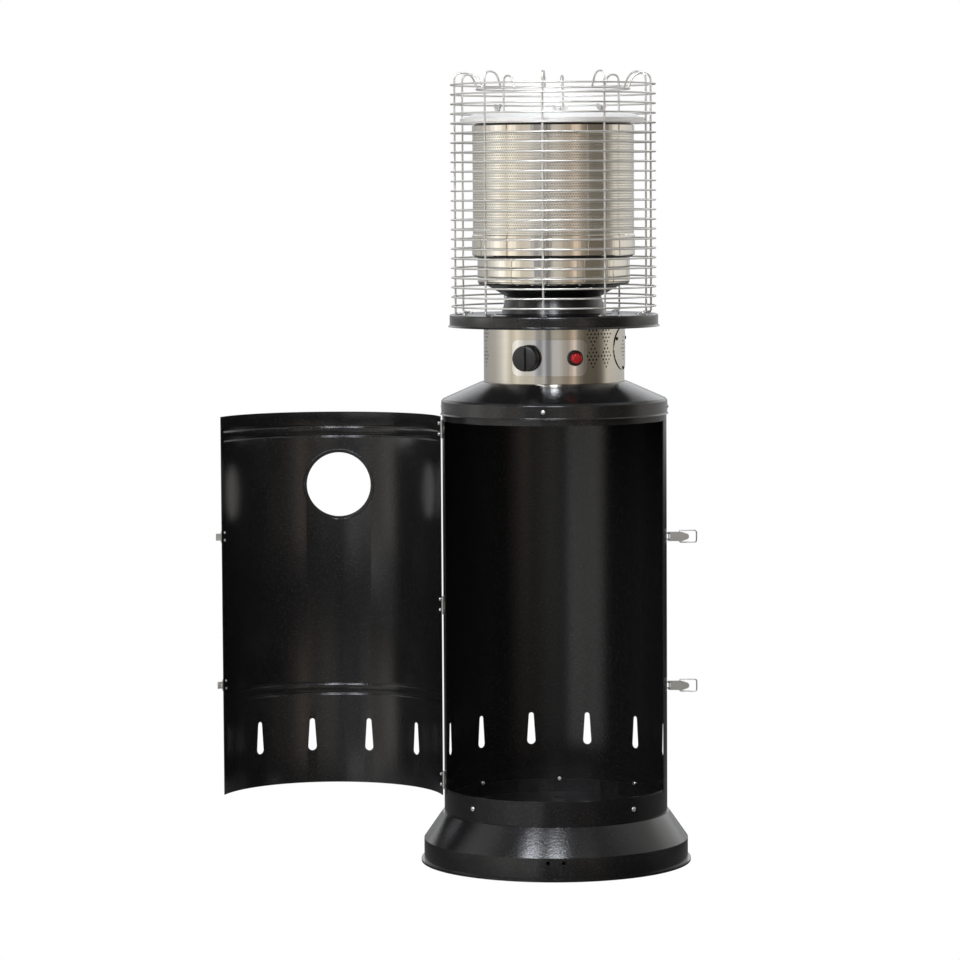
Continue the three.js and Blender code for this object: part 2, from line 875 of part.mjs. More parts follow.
// The mixing tube on the axis, with air ports at its foot and a flange on the top plate
function burnerTube() {
  const foot = flangeTop + seatGap;
  const bore = tubeRadius - tubeWall;
  const turned = solid(revolve([
    [bore, tubeBottom],
    [tubeRadius, tubeBottom],
    [tubeRadius, foot],
    [tubeFlangeRadius, foot],
    [tubeFlangeRadius, foot + sheet],
    [tubeRadius, foot + sheet],
    [tubeRadius, tubeTop],
    [bore, tubeTop],
  ], pinSides));
  const ports = [-1, 1].map((side) => {
    const port = rod(tubeAirHoleRadius, -tubeFlangeRadius, tubeFlangeRadius, wireSides);
    return outward(port, side * 180 / pinSides, tubeBottom + tubeAirHoleRise);
  });
  const passes = riserAzimuths().map((azimuth) => {
    const spot = planPoint(riserCircle, azimuth);
    const pass = rod(riserRadius + passGap, foot - overrun, foot + sheet + overrun, wireSides);
    return pass.translate(spot.x, spot.y, 0);
  });
  return piece('burner_tube', cut(turned, ...ports, ...passes), zinc);
}

function riserAzimuths() {
  return [knobAzimuth - riserSpread, knobAzimuth + riserSpread];
}

// A thin tube that climbs from the top of the valve into the burner
function riser(name, azimuth, top, material) {
  const knee = flangeTop - riserKnee;
  const path = bentPath([
    spacePoint(valveMiddle, azimuth, controlHeight + valveHeight / 2 + seatGap),
    spacePoint(valveMiddle, azimuth, knee),
    spacePoint(riserCircle, azimuth, knee),
    spacePoint(riserCircle, azimuth, top),
  ], [riserBend, riserBend]);
  return piece(name, wire(path, riserRadius), material);
}

function pilotHood() {
  const spot = planPoint(riserCircle, riserAzimuths()[0]);
  const hood = revolve([
    [riserRadius + seatGap, riserTop - pilotHoodHeight / 2],
    [pilotHoodRadius, riserTop - pilotHoodHeight / 2],
    [pilotHoodRadius, riserTop + pilotHoodHeight / 2],
    [riserRadius + seatGap, riserTop + pilotHoodHeight / 2],
  ], pinSides);
  return piece('pilot_hood', hood.translate(spot.x, spot.y, 0), stainless);
}

function tiltSwitch() {
  const box = block(tiltWidth, tiltHeight, tiltDepth).translate(0, 0, bandInner - tiltDepth / 2);
  const body = solid(outward(box, tiltAzimuth, tiltMiddle)).intersect(fillDrum(bandInner - seatGap));
  return piece('tilt_switch', body, blackPlastic);
}

function igniterBody() {
  const bore = buttonRadius + runGap;
  const body = revolve([
    [0, bandInner - igniterDepth],
    [igniterRadius, bandInner - igniterDepth],
    [igniterRadius, igniterFace],
    [bore, igniterFace],
    [bore, igniterFace - buttonSocket],
    [0, igniterFace - buttonSocket],
  ], smallSides);
  return piece('igniter_body', outward(body, igniterAzimuth, controlHeight), blackPlastic);
}

// The button's +Z points out of the panel, with its origin on the heater's axis
function igniterButton() {
  const face = igniterFace + buttonProud;
  const button = revolve([
    [0, igniterFace - buttonGrip],
    [buttonRadius, igniterFace - buttonGrip],
    [buttonRadius, face - buttonDome],
    [buttonRadius - buttonDome, face],
    [0, face],
  ], smallSides);
  return piece('igniter_button', button, redPlastic);
}

function flangePlate() {
  const skirtBottom = flangeTop - flangeDrop;
  const inner = flangeRadius - sheet;
  return piece('flange_plate', revolve([
    [flangeHoleRadius, flangeUnder],
    [flangeHoleRadius, flangeTop],
    [flangeRadius - flangeRound, flangeTop],
    [flangeRadius, flangeTop - flangeRound],
    [flangeRadius, skirtBottom + flangeFlareHeight],
    [flangeRadius + flangeFlare, skirtBottom],
    [inner + flangeFlare, skirtBottom],
    [inner, skirtBottom + flangeFlareHeight],
    [inner, flangeTop - flangeRound],
    [flangeRadius - flangeRound, flangeUnder],
  ]), blackCoat);
}

function burnerNeck() {
  return piece('burner_neck', revolve([
    [neckFootRadius + neckFlange, neckBottom],
    [neckFootRadius + neckFlange, neckBottom + sheet],
    [neckFootRadius, neckBottom + sheet],
    [neckTopRadius, neckTop],
    [neckTopRadius - sheet, neckTop],
    [neckFootRadius - sheet, neckBottom],
  ], dishSides), darkSteel);
}

function burnerDish() {
  const flat = neckTopRadius + sheet;
  const dish = solid(revolve([
    [dishInnerRadius, dishBottom],
    [flat, dishBottom],
    [dishKneeRadius, dishKnee],
    [dishOuterRadius, dishKnee + dishRimRise],
    [dishOuterRadius, dishKnee + dishRimRise + sheet],
    [dishKneeRadius, dishKnee + sheet],
    [flat, dishBottom + sheet],
    [dishInnerRadius, dishBottom + sheet],
  ], dishSides));
  const slots = [];
  for (let i = 0; i < dishSlotCount; i += 1) {
    const slot = block(dishSlotWidth, dishSlotLength, 2 * (dishRise + overrun));
    slot.translate(0, -(dishSlotOuter + dishSlotInner) / 2, dishKnee);
    slots.push(slot.rotateZ(2 * Math.PI * (i + 0.5) / dishSlotCount));
  }
  return piece('burner_dish', cut(dish, ...slots), darkSteel);
}

function burnerBowl() {
  const inner = bowlRadius - sheet;
  return piece('burner_bowl', revolve([
    [bowlRadius - bowlFlange, bowlBottom],
    [bowlRadius - bowlRound, bowlBottom],
    [bowlRadius, bowlBottom + bowlRound],
    [bowlRadius, bowlTop],
    [inner, bowlTop],
    [inner, bowlBottom + bowlRound],
    [inner - bowlRound, bowlBottom + sheet],
    [bowlRadius - bowlFlange, bowlBottom + sheet],
  ], burnerSides), stainless);
}

function emitter() {
  const foot = emitterRadius + emitterFootProud;
  const head = emitterRadius + emitterHeadProud;
  const inner = emitterRadius - sheet;
  return piece('emitter', revolve([
    [emitterFlangeRadius, emitterBottom],
    [foot - emitterFootProud, emitterBottom],
    [foot, emitterBottom + emitterFootProud],
    [foot, emitterBottom + emitterFoot],
    [emitterRadius, emitterBottom + emitterFoot + emitterFootProud],
    [emitterRadius, emitterTop - emitterHeadHeight - emitterHeadProud],
    [head, emitterTop - emitterHeadHeight],
    [head, emitterTop],
    [emitterFlangeRadius, emitterTop],
    [emitterFlangeRadius, emitterTop - sheet],
    [inner, emitterTop - sheet],
    [inner, emitterBottom + sheet],
    [emitterFlangeRadius, emitterBottom + sheet],
  ], burnerSides), stainless);
}

function studSpots() {
  const spots = [];
  for (let i = 0; i < studCount; i += 1) {
    spots.push(planPoint(studCircle, studAzimuth + 360 * i / studCount));
  }
  return spots;
}

function burnerCap() {
  const inner = capWallRadius - sheet;
  const cap = revolve([
    [0, capTop - sheet],
    [inner, capTop - sheet],
    [inner, capBottom],
    [capWallRadius + capFlange, capBottom],
    [capWallRadius + capFlange, capBottom + sheet],
    [capWallRadius, capBottom + sheet],
    [capWallRadius, capTop],
    [0, capTop],
  ], burnerSides);
  const seat = reflectorTop - sheet - seatGap;
  const studTop = reflectorTop + wingHubHeight + studProud;
  const studs = studSpots().map((spot) => revolve([
    [0, capTop - sheet / 2],
    [spacerRadius, capTop - sheet / 2],
    [spacerRadius, seat],
    [studRadius, seat],
    [studRadius, studTop],
    [0, studTop],
  ], wireSides).translate(spot.x, spot.y, 0));
  return piece('burner_cap', join(cap, ...studs), darkSteel);
}

function reflector() {
  const shoulder = reflectorBottom + reflectorRim;
  const cap = solid(revolve([
    [0, reflectorTop - sheet],
    [reflectorFlatRadius, reflectorTop - sheet],
    [reflectorRadius - sheet, shoulder],
    [reflectorRadius - sheet, reflectorBottom],
    [reflectorRadius, reflectorBottom],
    [reflectorRadius, shoulder],
    [reflectorFlatRadius, reflectorTop],
    [0, reflectorTop],
  ], burnerSides));
  const holes = studSpots().map((spot) => {
    const hole = rod(studRadius + passGap, reflectorBottom, reflectorTop + overrun, wireSides);
    return hole.translate(spot.x, spot.y, 0);
  });
  return piece('reflector', cut(cap, ...holes), paleAluminium);
}

// A wing nut with its foot at the origin
function wingNut(name) {
  const span = wingSpan / 2;
  const wings = new THREE.Shape([
    new THREE.Vector2(-wingHubRadius, seatGap),
    new THREE.Vector2(wingHubRadius, seatGap),
    new THREE.Vector2(span, wingHeight / 2),
    new THREE.Vector2(span, wingHeight),
    new THREE.Vector2(span - wingHubRadius, wingHeight),
    new THREE.Vector2(wingHubRadius, wingHubHeight),
    new THREE.Vector2(-wingHubRadius, wingHubHeight),
    new THREE.Vector2(wingHubRadius - span, wingHeight),
    new THREE.Vector2(-span, wingHeight),
    new THREE.Vector2(-span, wingHeight / 2),
  ]);
  const blade = prism(wings, -wingThickness / 2, wingThickness / 2).rotateX(Math.PI / 2);
  const hub = rod(wingHubRadius, 0, wingHubHeight, wireSides);
  const bore = rod(studRadius + passGap, -overrun, wingHeight, wireSides);
  return piece(name, cut(join(hub, blade), bore), zinc);
}

// One ring of wire with an edge inward, and the middle of a facet on each upright
function guardRing(radius, height) {
  const half = 180 / guardRingSides;
  const section = [];
  for (let i = 0; i < guardWireSides; i += 1) {
    const turn = Math.PI + 2 * Math.PI * i / guardWireSides;
    const reach = radius / Math.cos(half * degree) + guardWire * Math.cos(turn);
    section.push([reach, height + guardWire * Math.sin(turn)]);
  }
  return revolve(section, guardRingSides).rotateZ((90 + half) * degree);
}

// The small ring that the ends of the guard's arches stand on
function guardTopRing() {
  const ring = guardRing(guardTopRingRadius, guardTopRingHeight);
  return piece('guard_top_ring', ring.rotateZ((guardPostAzimuth - 90) * degree), guardSteel);
}

// The wire guard: level rings outside upright wires that arch inward to the small ring
function guard() {
  const peak = guardTop + guardArchRise;
  const lastBend = new THREE.Vector3(guardPostRadius - 2 * guardArchRun, 0, peak);
  const ringSpot = new THREE.Vector3(guardTopRingRadius, 0, guardTopRingHeight);
  const archEnd = new THREE.Vector3().subVectors(lastBend, ringSpot);
  archEnd.setLength(guardWire + seatGap).add(ringSpot);
  const points = bentPath([
    new THREE.Vector3(guardPostRadius - guardFootLength, 0, guardFloor),
    new THREE.Vector3(guardPostRadius, 0, guardFloor),
    new THREE.Vector3(guardPostRadius, 0, peak),
    lastBend,
    archEnd,
  ], [guardFootBend, guardArchRun - sheet, guardArchRun - sheet]);
  const post = wire(points, guardPostWire, guardWireSides);
  const wires = [];
  for (let i = 0; i < guardRingCount; i += 1) {
    wires.push(guardRing(guardRingRadius, flangeTop + guardFirstRing + i * guardRingPitch));
  }
  for (let i = 0; i < guardPostCount; i += 1) {
    wires.push(post.clone().rotateZ(2 * Math.PI * i / guardPostCount));
  }
  const cage = surface(join(...wires));
  return piece('guard', cage.rotateZ((guardPostAzimuth - 90) * degree), guardSteel);
}

// Pieces of the door are made shut and moved so that the hinge line is their origin
function fromHinge(shape) {
  const geometry = shape instanceof wasm.Manifold ? surface(shape) : shape;
  return geometry.translate(-hingeX, -hingeY, 0);
}

// The door's levels from the bottom up, as [depth of the pressed bead, height]
function doorLevels() {
  const levels = [[0, doorBottom]];
  for (const height of beadHeights) {
    levels.push([0, height - beadHeight / 2], [beadDepth, height], [0, height + beadHeight / 2]);
  }
  levels.push([0, doorTop]);
  return levels;
}

// The azimuths of the door's facets, each with how far the beads are pressed there
function doorStations() {
  const full = beadHalfAngle - beadFadeAngle;
  const azimuths = facetAzimuths(-doorHingeEdge, doorFreeEdge);
  azimuths.push(-beadHalfAngle, -full, full, beadHalfAngle);
  azimuths.sort((a, b) => a - b);
  return azimuths.map((azimuth) => [azimuth, Math.abs(azimuth) > full ? 0 : 1]);
}

// The door's sheet with its beads, carried round the arc
function doorWall() {
  const levels = doorLevels();
  const stations = doorStations();
  const points = [];
  for (const [azimuth, press] of stations) {
    for (const wall of [doorInner, doorOuter]) {
      for (const [depth, height] of levels) {
        points.push(spacePoint(facetRadius(wall + press * depth, azimuth), azimuth, height));
      }
    }
  }
  const last = levels.length - 1;
  const end = stations.length - 1;
  const inner = (station, level) => 2 * levels.length * station + level;
  const outer = (station, level) => inner(station, level) + levels.length;
  const corners = [];
  const quad = (a, b, c, d) => corners.push(a, b, c, a, c, d);
  for (let i = 0; i < end; i += 1) {
    for (let k = 0; k < last; k += 1) {
      quad(outer(i, k), outer(i + 1, k), outer(i + 1, k + 1), outer(i, k + 1));
      quad(inner(i, k), inner(i, k + 1), inner(i + 1, k + 1), inner(i + 1, k));
    }
    quad(outer(i, last), outer(i + 1, last), inner(i + 1, last), inner(i, last));
    quad(inner(i, 0), inner(i + 1, 0), outer(i + 1, 0), outer(i, 0));
  }
  for (let k = 0; k < last; k += 1) {
    quad(outer(0, k), outer(0, k + 1), inner(0, k + 1), inner(0, k));
    quad(inner(end, k), inner(end, k + 1), outer(end, k + 1), outer(end, k));
  }
  const wall = new THREE.BufferGeometry().setFromPoints(points);
  wall.setIndex(corners);
  return wall;
}

function doorPanel() {
  const band = solid(revolve([
    [doorInner, portHeight - portReach],
    [doorOuter + portLipDepth, portHeight - portReach],
    [doorOuter + portLipDepth, portHeight + portReach],
    [doorInner, portHeight + portReach],
  ]));
  const lip = solid(outward(rod(portRadius + portLipWall, 0, wallReach, dishSides), 0, portHeight));
  const port = outward(rod(portRadius, 0, wallReach, dishSides), 0, portHeight);
  const whole = solid(doorWall()).add(band.intersect(lip));
  return piece('door_panel', fromHinge(cut(whole, port, ...slotCutters(doorSlotCount, 0))), blackCoat);
}

// One leaf of a hinge: a plate on a curved wall and its share of the knuckle
function hingeLeaf(name, height, inner, side, shares) {
  const low = height - hingeLength / 2;
  const edge = hingeAzimuth + side * (knuckleRadius + runGap) / hingeRadius / degree;
  const end = hingeAzimuth + side * leafWidth / hingeRadius / degree;
  const plate = wallShape(inner, inner + sheet, Math.min(edge, end), Math.max(edge, end));
  const start = Math.min(hingeAzimuth, end);
  const tongue = wallShape(inner, inner + sheet, start, Math.max(hingeAzimuth, end));
  let leaf = solid(prism(plate, low, low + hingeLength));
  for (const [from, to] of shares) {
    const bottom = low + from * hingeLength + seatGap / 2;
    const top = low + to * hingeLength - seatGap / 2;
    const knuckle = rod(knuckleRadius, bottom, top, wireSides).translate(hingeX, hingeY, 0);
    leaf = leaf.add(solid(prism(tongue, bottom, top))).add(solid(knuckle));
  }
  const bore = rod(hingePinRadius + runGap, low - overrun, low + hingeLength + overrun, wireSides);
  return piece(name, fromHinge(cut(leaf, bore.translate(hingeX, hingeY, 0))), zinc);
}

function hingePin(name, height) {
  const bottom = height - hingeLength / 2 - seatGap;
  const top = height + hingeLength / 2 + seatGap;
  const head = hingePinRadius + hingePinHead;
  return piece(name, revolve([
    [0, bottom],
    [hingePinRadius, bottom],
    [hingePinRadius, top],
    [head, top],
    [head, top + hingePinHead],
    [0, top + hingePinHead],
  ], wireSides), zinc);
}

// The catch on the door that a latch's bail pulls on, made shut
function strike(name, height) {
  const inner = doorOuter + seatGap;
  const end = Math.acos(-hookFace / (inner + sheet)) / degree;
  const start = doorFreeEdge - strikeWidth / doorOuter / degree;
  const half = strikeHeight / 2;
  const plate = prism(wallShape(inner, inner + sheet, start, end), height - half, height + half);
  const root = Math.sqrt((inner + sheet) ** 2 - hookFace ** 2) - sheet;
  const hook = block(strikeTip - root, sheet, strikeHookHeight);
  hook.translate((strikeTip + root) / 2, hookFace + sheet / 2, height);
  return piece(name, fromHinge(join(plate, hook)), zinc);
}

// A latch's bracket on the body, with the lever's pivot as its origin
function latchBase(name) {
  const inner = bodyRadius + seatGap;
  const half = latchPlateHeight / 2;
  const start = latchAzimuth - latchPlateLead;
  const plate = prism(wallShape(inner, inner + sheet, start, latchAzimuth + latchPlateSpan), -half, half);
  plate.translate(-latchX, -latchY, 0);
  const root = latchRadius - facetRadius(inner, latchAzimuth) - sheet / 2;
  const outline = new THREE.Shape();
  outline.moveTo(-root, -earRadius);
  outline.absarc(0, 0, earRadius, -Math.PI / 2, Math.PI / 2, false);
  outline.lineTo(-root, earRadius);
  const ears = [earInner, -earInner - earThickness].map((bottom) => {
    return prism(outline, bottom, bottom + earThickness, earSteps).rotateZ((latchAzimuth - 90) * degree);
  });
  const bore = rod(earHoleRadius, -half, half, pinSides);
  return piece(name, cut(join(plate, ...ears), bore), darkSteel);
}

// A latch's lever, pointing to +X with its pivot at the origin
function latchLever(name) {
  const half = leverHeight / 2;
  const cheek = new THREE.Shape();
  cheek.moveTo(-leverCheekRadius, -leverWebOffset - leverSheet / 2);
  cheek.lineTo(bailPivot + leverCheekRadius, -leverWebOffset - leverSheet / 2);
  cheek.absarc(bailPivot, 0, leverCheekRadius, 0, Math.PI / 2, false);
  cheek.absarc(0, 0, leverCheekRadius, Math.PI / 2, Math.PI, false);
  const cheeks = [half - leverSheet, -half].map((bottom) => prism(cheek, bottom, bottom + leverSheet));
  const outline = new THREE.Shape();
  outline.moveTo(leverWebStart, -half);
  outline.lineTo(leverLength, -half);
  outline.absarc(leverLength + thumbLength - thumbRadius, 0, thumbRadius, -Math.PI / 2, Math.PI / 2, false);
  outline.lineTo(leverLength, half);
  outline.lineTo(leverWebStart, half);
  const web = prism(outline, leverWebOffset, leverWebOffset + leverSheet, earSteps).rotateX(Math.PI / 2);
  const pin = rod(leverPinRadius, leverSheet / 2 - half, half - leverSheet / 2, wireSides);
  const bore = rod(bailHoleRadius, -half - overrun, half + overrun, wireSides).translate(bailPivot, 0, 0);
  return piece(name, cut(join(...cheeks, web, pin), bore), zinc);
}

// The wire loop of a latch, pointing to +X with its pivot at the origin
function latchBail(name) {
  const path = bentPath([
    new THREE.Vector3(0, 0, bailStub - bailHalfHeight),
    new THREE.Vector3(0, 0, -bailHalfHeight),
    new THREE.Vector3(bailLength, 0, -bailHalfHeight),
    new THREE.Vector3(bailLength, 0, bailHalfHeight),
    new THREE.Vector3(0, 0, bailHalfHeight),
    new THREE.Vector3(0, 0, bailHalfHeight - bailStub),
  ], [bailStubBend, bailCorner, bailCorner, bailStubBend]);
  return piece(name, wire(path, bailWire), guardSteel);
}

function group(x, y, z, ...members) {
  const holder = new THREE.Group();
  holder.position.set(x, y, z);
  members.forEach((member) => holder.add(member));
  return holder;
}

// A holder whose +Z points out of the panel at an azimuth and the controls' height
function panelGroup(azimuth, ...members) {
  const holder = group(0, 0, controlHeight, ...members);
  holder.rotateZ(azimuth * degree);
  holder.rotateX(Math.PI / 2);
  return holder;
}

function latch(place, height) {
  const bail = group(bailPivot, 0, 0, latchBail(`latch_${place}_bail`));
  const lever = group(0, 0, 0, latchLever(`latch_${place}_lever`), bail);
  return group(latchX, latchY, height, latchBase(`latch_${place}_base`), lever);
}

const places = ['lower', 'middle', 'upper'];
const hingeInner = [bodyRadius + seatGap, doorOuter + seatGap];
const bodyShares = [[knuckleShares[1], knuckleShares[2]]];
const doorShares = [[knuckleShares[0], knuckleShares[1]], [knuckleShares[2], knuckleShares[3]]];

const hingeBodies = group(hingeX, hingeY, 0);
const door = group(hingeX, hingeY, 0, doorPanel());
hingeHeights.forEach((height, i) => {
  const name = `hinge_${places[i]}`;
  hingeBodies.add(hingeLeaf(`${name}_body_leaf`, height, hingeInner[0], -1, bodyShares));
  hingeBodies.add(hingePin(`${name}_pin`, height));
  door.add(hingeLeaf(`${name}_door_leaf`, height, hingeInner[1], 1, doorShares));
});
latchHeights.forEach((height, i) => door.add(strike(`strike_${places[2 * i]}`, height)));
door.rotation.z = -doorOpenAngle * degree;

const wingNuts = studSpots().map((spot, i) => {
  const nut = group(spot.x, spot.y, reflectorTop + seatGap, wingNut(`wing_nut_${i + 1}`));
  nut.rotation.z = (studAzimuth + 360 * i / studCount) * degree;
  return nut;
});

const heater = group(standX, 0, 0);
heater.name = 'patio_heater';
heater.add(basePan(), bottleTray(), bodyShell(), shoulderCover());
heater.add(hingeBodies, door);
latchHeights.forEach((height, i) => heater.add(latch(places[2 * i], height)));
heater.add(controlBand(), controlPlate(), accessCover(), knobBezel(), igniterNut());
heater.add(panelGroup(knobAzimuth, knob(), knobStem(), valvePlug()));
heater.add(valveBody(), gasInlet(), feedPipe(), gasJet(), burnerTube());
heater.add(riser('pilot_tube', riserAzimuths()[0], riserTop, brass), pilotHood());
heater.add(riser('thermocouple', riserAzimuths()[1], riserTop + pilotHoodHeight / 2, zinc));
heater.add(tiltSwitch(), igniterBody(), panelGroup(igniterAzimuth, igniterButton()));
heater.add(flangePlate(), burnerNeck(), burnerDish(), burnerBowl(), emitter());
heater.add(burnerCap(), reflector(), ...wingNuts, guard(), guardTopRing());

export default heater;
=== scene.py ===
"""The looks of a cabinet patio heater: sheet metal, wire guard, fixings, studio and camera.

Metres, +Z up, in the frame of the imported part. The heater's own axis stands at (AXIS_X, AXIS_Y).
Azimuths are degrees from the front (-Y), growing towards +X.
"""

import json
import math

import bmesh
import bpy
from mathutils import Matrix, Vector

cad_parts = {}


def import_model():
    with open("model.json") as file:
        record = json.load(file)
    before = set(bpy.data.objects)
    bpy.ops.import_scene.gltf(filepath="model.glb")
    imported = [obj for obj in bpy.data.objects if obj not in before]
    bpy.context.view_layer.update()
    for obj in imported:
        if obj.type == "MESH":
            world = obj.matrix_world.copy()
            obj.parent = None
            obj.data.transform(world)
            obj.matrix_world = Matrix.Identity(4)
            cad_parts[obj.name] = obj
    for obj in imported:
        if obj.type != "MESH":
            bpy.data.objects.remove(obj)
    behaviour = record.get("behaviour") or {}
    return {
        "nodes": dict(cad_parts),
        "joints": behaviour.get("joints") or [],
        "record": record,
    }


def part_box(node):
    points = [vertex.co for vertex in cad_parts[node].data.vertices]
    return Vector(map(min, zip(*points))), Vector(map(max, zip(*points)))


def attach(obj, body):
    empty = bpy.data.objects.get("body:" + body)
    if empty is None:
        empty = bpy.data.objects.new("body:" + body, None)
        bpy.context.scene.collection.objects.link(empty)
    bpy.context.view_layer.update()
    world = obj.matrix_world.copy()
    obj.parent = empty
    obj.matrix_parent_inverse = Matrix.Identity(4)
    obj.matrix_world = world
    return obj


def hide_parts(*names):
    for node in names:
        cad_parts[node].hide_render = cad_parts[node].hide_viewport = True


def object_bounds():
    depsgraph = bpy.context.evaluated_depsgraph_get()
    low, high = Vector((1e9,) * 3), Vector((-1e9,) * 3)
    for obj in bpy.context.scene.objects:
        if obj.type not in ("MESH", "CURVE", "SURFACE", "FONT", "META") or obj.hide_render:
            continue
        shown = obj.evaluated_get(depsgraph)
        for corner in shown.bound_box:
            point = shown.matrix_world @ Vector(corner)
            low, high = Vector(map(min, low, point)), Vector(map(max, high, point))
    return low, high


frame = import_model()
rest_low, rest_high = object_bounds()


def heights(node):
    """Where a CAD node starts and ends along Z."""
    low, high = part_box(node)
    return low.z, high.z


# Places that come from the frame
base_low, base_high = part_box("base_pan")
AXIS_X = (base_low.x + base_high.x) / 2
AXIS_Y = (base_low.y + base_high.y) / 2
AXIS = Matrix.Translation((AXIS_X, AXIS_Y, 0))
BAND_BOTTOM, BAND_TOP = heights("control_band")
FLANGE_TOP = heights("flange_plate")[1]
HINGE = next(joint for joint in frame["joints"] if joint["name"] == "door_hinge")
BODIES = frame["record"]["behaviour"]["bodies"].items()
BODY_OF = {member: body for body, members in BODIES for member in members}
SLOT_OF = {entry["node"]: entry["material_slot"] for entry in frame["record"]["subparts"]}

# Sheet metal, gaps, and how many sides a round thing has
SHEET = 0.0012
GAP = 0.0003
SIDES = 192
RIM_SIDES = 96
FINE_SIDES = 48
SMALL_SIDES = 24
VENT_SIDES = 10
ROUND_POINT = 0.3  # where the middle of a small rounding lies, as a share of it

# Base pan
LIP_RADIUS = 0.230
LIP_HEIGHT = 0.004
SKIRT_RADIUS = 0.225
SKIRT_TOP = 0.039
LEDGE_RADIUS = 0.193
LEDGE_HEIGHT = 0.085
BASE_ROUND = 0.0016
STRAP_HOLE_RADIUS = 0.003
STRAP_HOLE_HEIGHT = 0.031
STRAP_HOLE_AZIMUTHS = (-1.4, 5.2)

# Body and door
BODY_RADIUS = 0.190
OPENING_HALF_ANGLE = 76.5
OPENING_BOTTOM = 0.125
OPENING_TOP = 0.752
SLOT_HEIGHT = 0.056
SLOT_HEAD_RADIUS = 0.0045
SLOT_FOOT_RADIUS = 0.0075
SLOT_MIDDLE = 0.199
SLOT_PITCH = 30
BODY_SLOTS = 6
DOOR_SLOTS = 4
DOOR_RADIUS = 0.1905
DOOR_HINGE_EDGE = -76.6
DOOR_FREE_EDGE = 77.5
DOOR_COLUMNS = 156
BEAD_HALF_ANGLE = 73.5
BEAD_FADE = 1.5
BEAD_HEIGHT = 0.0065
BEAD_DEPTH = 0.002
BEAD_HEIGHTS = (0.271, 0.288, 0.719, 0.735)
BEAD_STEPS = 8
PORT_RADIUS = 0.056
PORT_HEIGHT = 0.634
PORT_LIP = 0.0016
PORT_BEAD_RADIUS = 0.0605
PORT_BEAD = 0.0011
PORT_BEAD_PROUD = 0.3  # share of the bead's radius

# Shoulder and control band
RIM_GAP = 0.0004
RIM_LIP = 0.002
RIM_LIP_HEIGHT = 0.0025
RIM_TOP = 0.7875
RIM_ROUND = 0.003
RIM_CROWN = 0.001
SLOPE_TOP_RADIUS = 0.1264
SHOULDER_TOP = 0.8172
FILLET_RUN = 0.002
FILLET_STEPS = 5
BAND_RADIUS = 0.119
BAND_FLANGE = 0.009
CONTROL_HEIGHT = 0.861
PLATE_AZIMUTH = -2.3
PLATE_WIDTH = 0.124
PLATE_HEIGHT = 0.060
PLATE_CORNER = 0.010
PLATE_ROUND = 0.0003
PLATE_FACE = BAND_RADIUS + 2 * GAP + SHEET
COVER_AZIMUTH = 77
COVER_HEIGHT = 0.874
COVER_RADIUS = 0.037
COVER_HOLE_RADIUS = 0.028
VENT_AZIMUTHS = (-71.7, 35.2, 49.2)
VENT_ROWS = (1, 2, 3, 4, 3, 2, 1, 2, 3, 4, 3, 2, 1)
COVER_ROWS = (1, 2, 3, 4, 3, 2, 1)
VENT_PITCH = 0.0072
VENT_ROW_PITCH = 0.0061
VENT_RADIUS = 0.0017
VENT_MIDDLE = 0.8815

# Controls, with profiles of (radius, height over the control plate's face)
KNOB_AZIMUTH = -18.2
IGNITER_AZIMUTH = 18.7
STEM_HOLE_RADIUS = 0.0065
IGNITER_HOLE_RADIUS = 0.0105
BEZEL_PROFILE = (
    (0.008, -0.006), (0.0222, -0.006), (0.0222, 0.0025), (0.0207, 0.004), (0.008, 0.004),
)
NUT_PROFILE = (
    (0.0106, -0.004), (0.0132, -0.004), (0.0132, 0.004), (0.0122, 0.005), (0.0106, 0.005),
)
KNOB_FACE = 0.0241
KNOB_PROFILE = (
    (0, 0.0086), (0.0205, 0.0086), (0.0215, 0.0096), (0.0213, 0.0221), (0.0207, 0.0235),
    (0.0195, KNOB_FACE), (0, KNOB_FACE),
)
GRIP_SECTION = ((-0.0035, -0.002), (0.0035, -0.002), (0.00252, 0.005), (-0.00252, 0.005))
GRIP_HALF_LENGTH = 0.0195
BUTTON_PROFILE = (
    (0, 0), (0.0088, 0), (0.0088, 0.0129), (0.0083, 0.0143), (0.0068, 0.0152), (0.0045, 0.0155),
    (0, 0.0155),
)

# Burner, where a hole, foot, top, knee or edge is its radius
FLANGE_RADIUS = 0.1764
FLANGE_FLARE = 0.003
FLANGE_LIP = 0.0034
FLANGE_ROUND = 0.0026
FLANGE_HOLE = 0.062
NECK_FOOT = 0.0885
NECK_TOP = 0.080
NECK_FLANGE = 0.010
DISH_HOLE = 0.074
DISH_KNEE = 0.112
DISH_RISE = 0.0175
DISH_EDGE = 0.127
DISH_SLOTS = 24
DISH_SLOT_WIDTH = 0.005
DISH_SLOT_INNER = 0.093
DISH_SLOT_OUTER = 0.109
DISH_OVERRUN = 0.01
BOWL_RADIUS = 0.1286
BOWL_FLANGE = 0.012
BOWL_ROUND = 0.0034
EMITTER_RADIUS = 0.136
EMITTER_FOOT = 0.034
FOOT_PROUD = 0.0016
EMITTER_HEAD = 0.013
HEAD_PROUD = 0.0008
EMITTER_HOLE = 0.121
# A dark ring under the emitter's foot, painted shade where the foot's underside lies in shadow
SHADE_RING_HEIGHT = 0.0035
SHADE_RING_PROUD = 0.0055
SHADE_RING_CHAMFER = 0.2  # share of the painted shade ring's height
CAP_RADIUS = 0.131
CAP_FLANGE = 0.003
CAP_HEIGHT = 0.0045
STUD_CIRCLE = 0.1006
STUD_AZIMUTHS = (55.2, 175.2, 295.2)
STUD_RADIUS = 0.0025
STUD_COLLAR = 0.0045
REFLECTOR_RADIUS = 0.157
REFLECTOR_RIM = 0.006
REFLECTOR_FLAT = 0.122

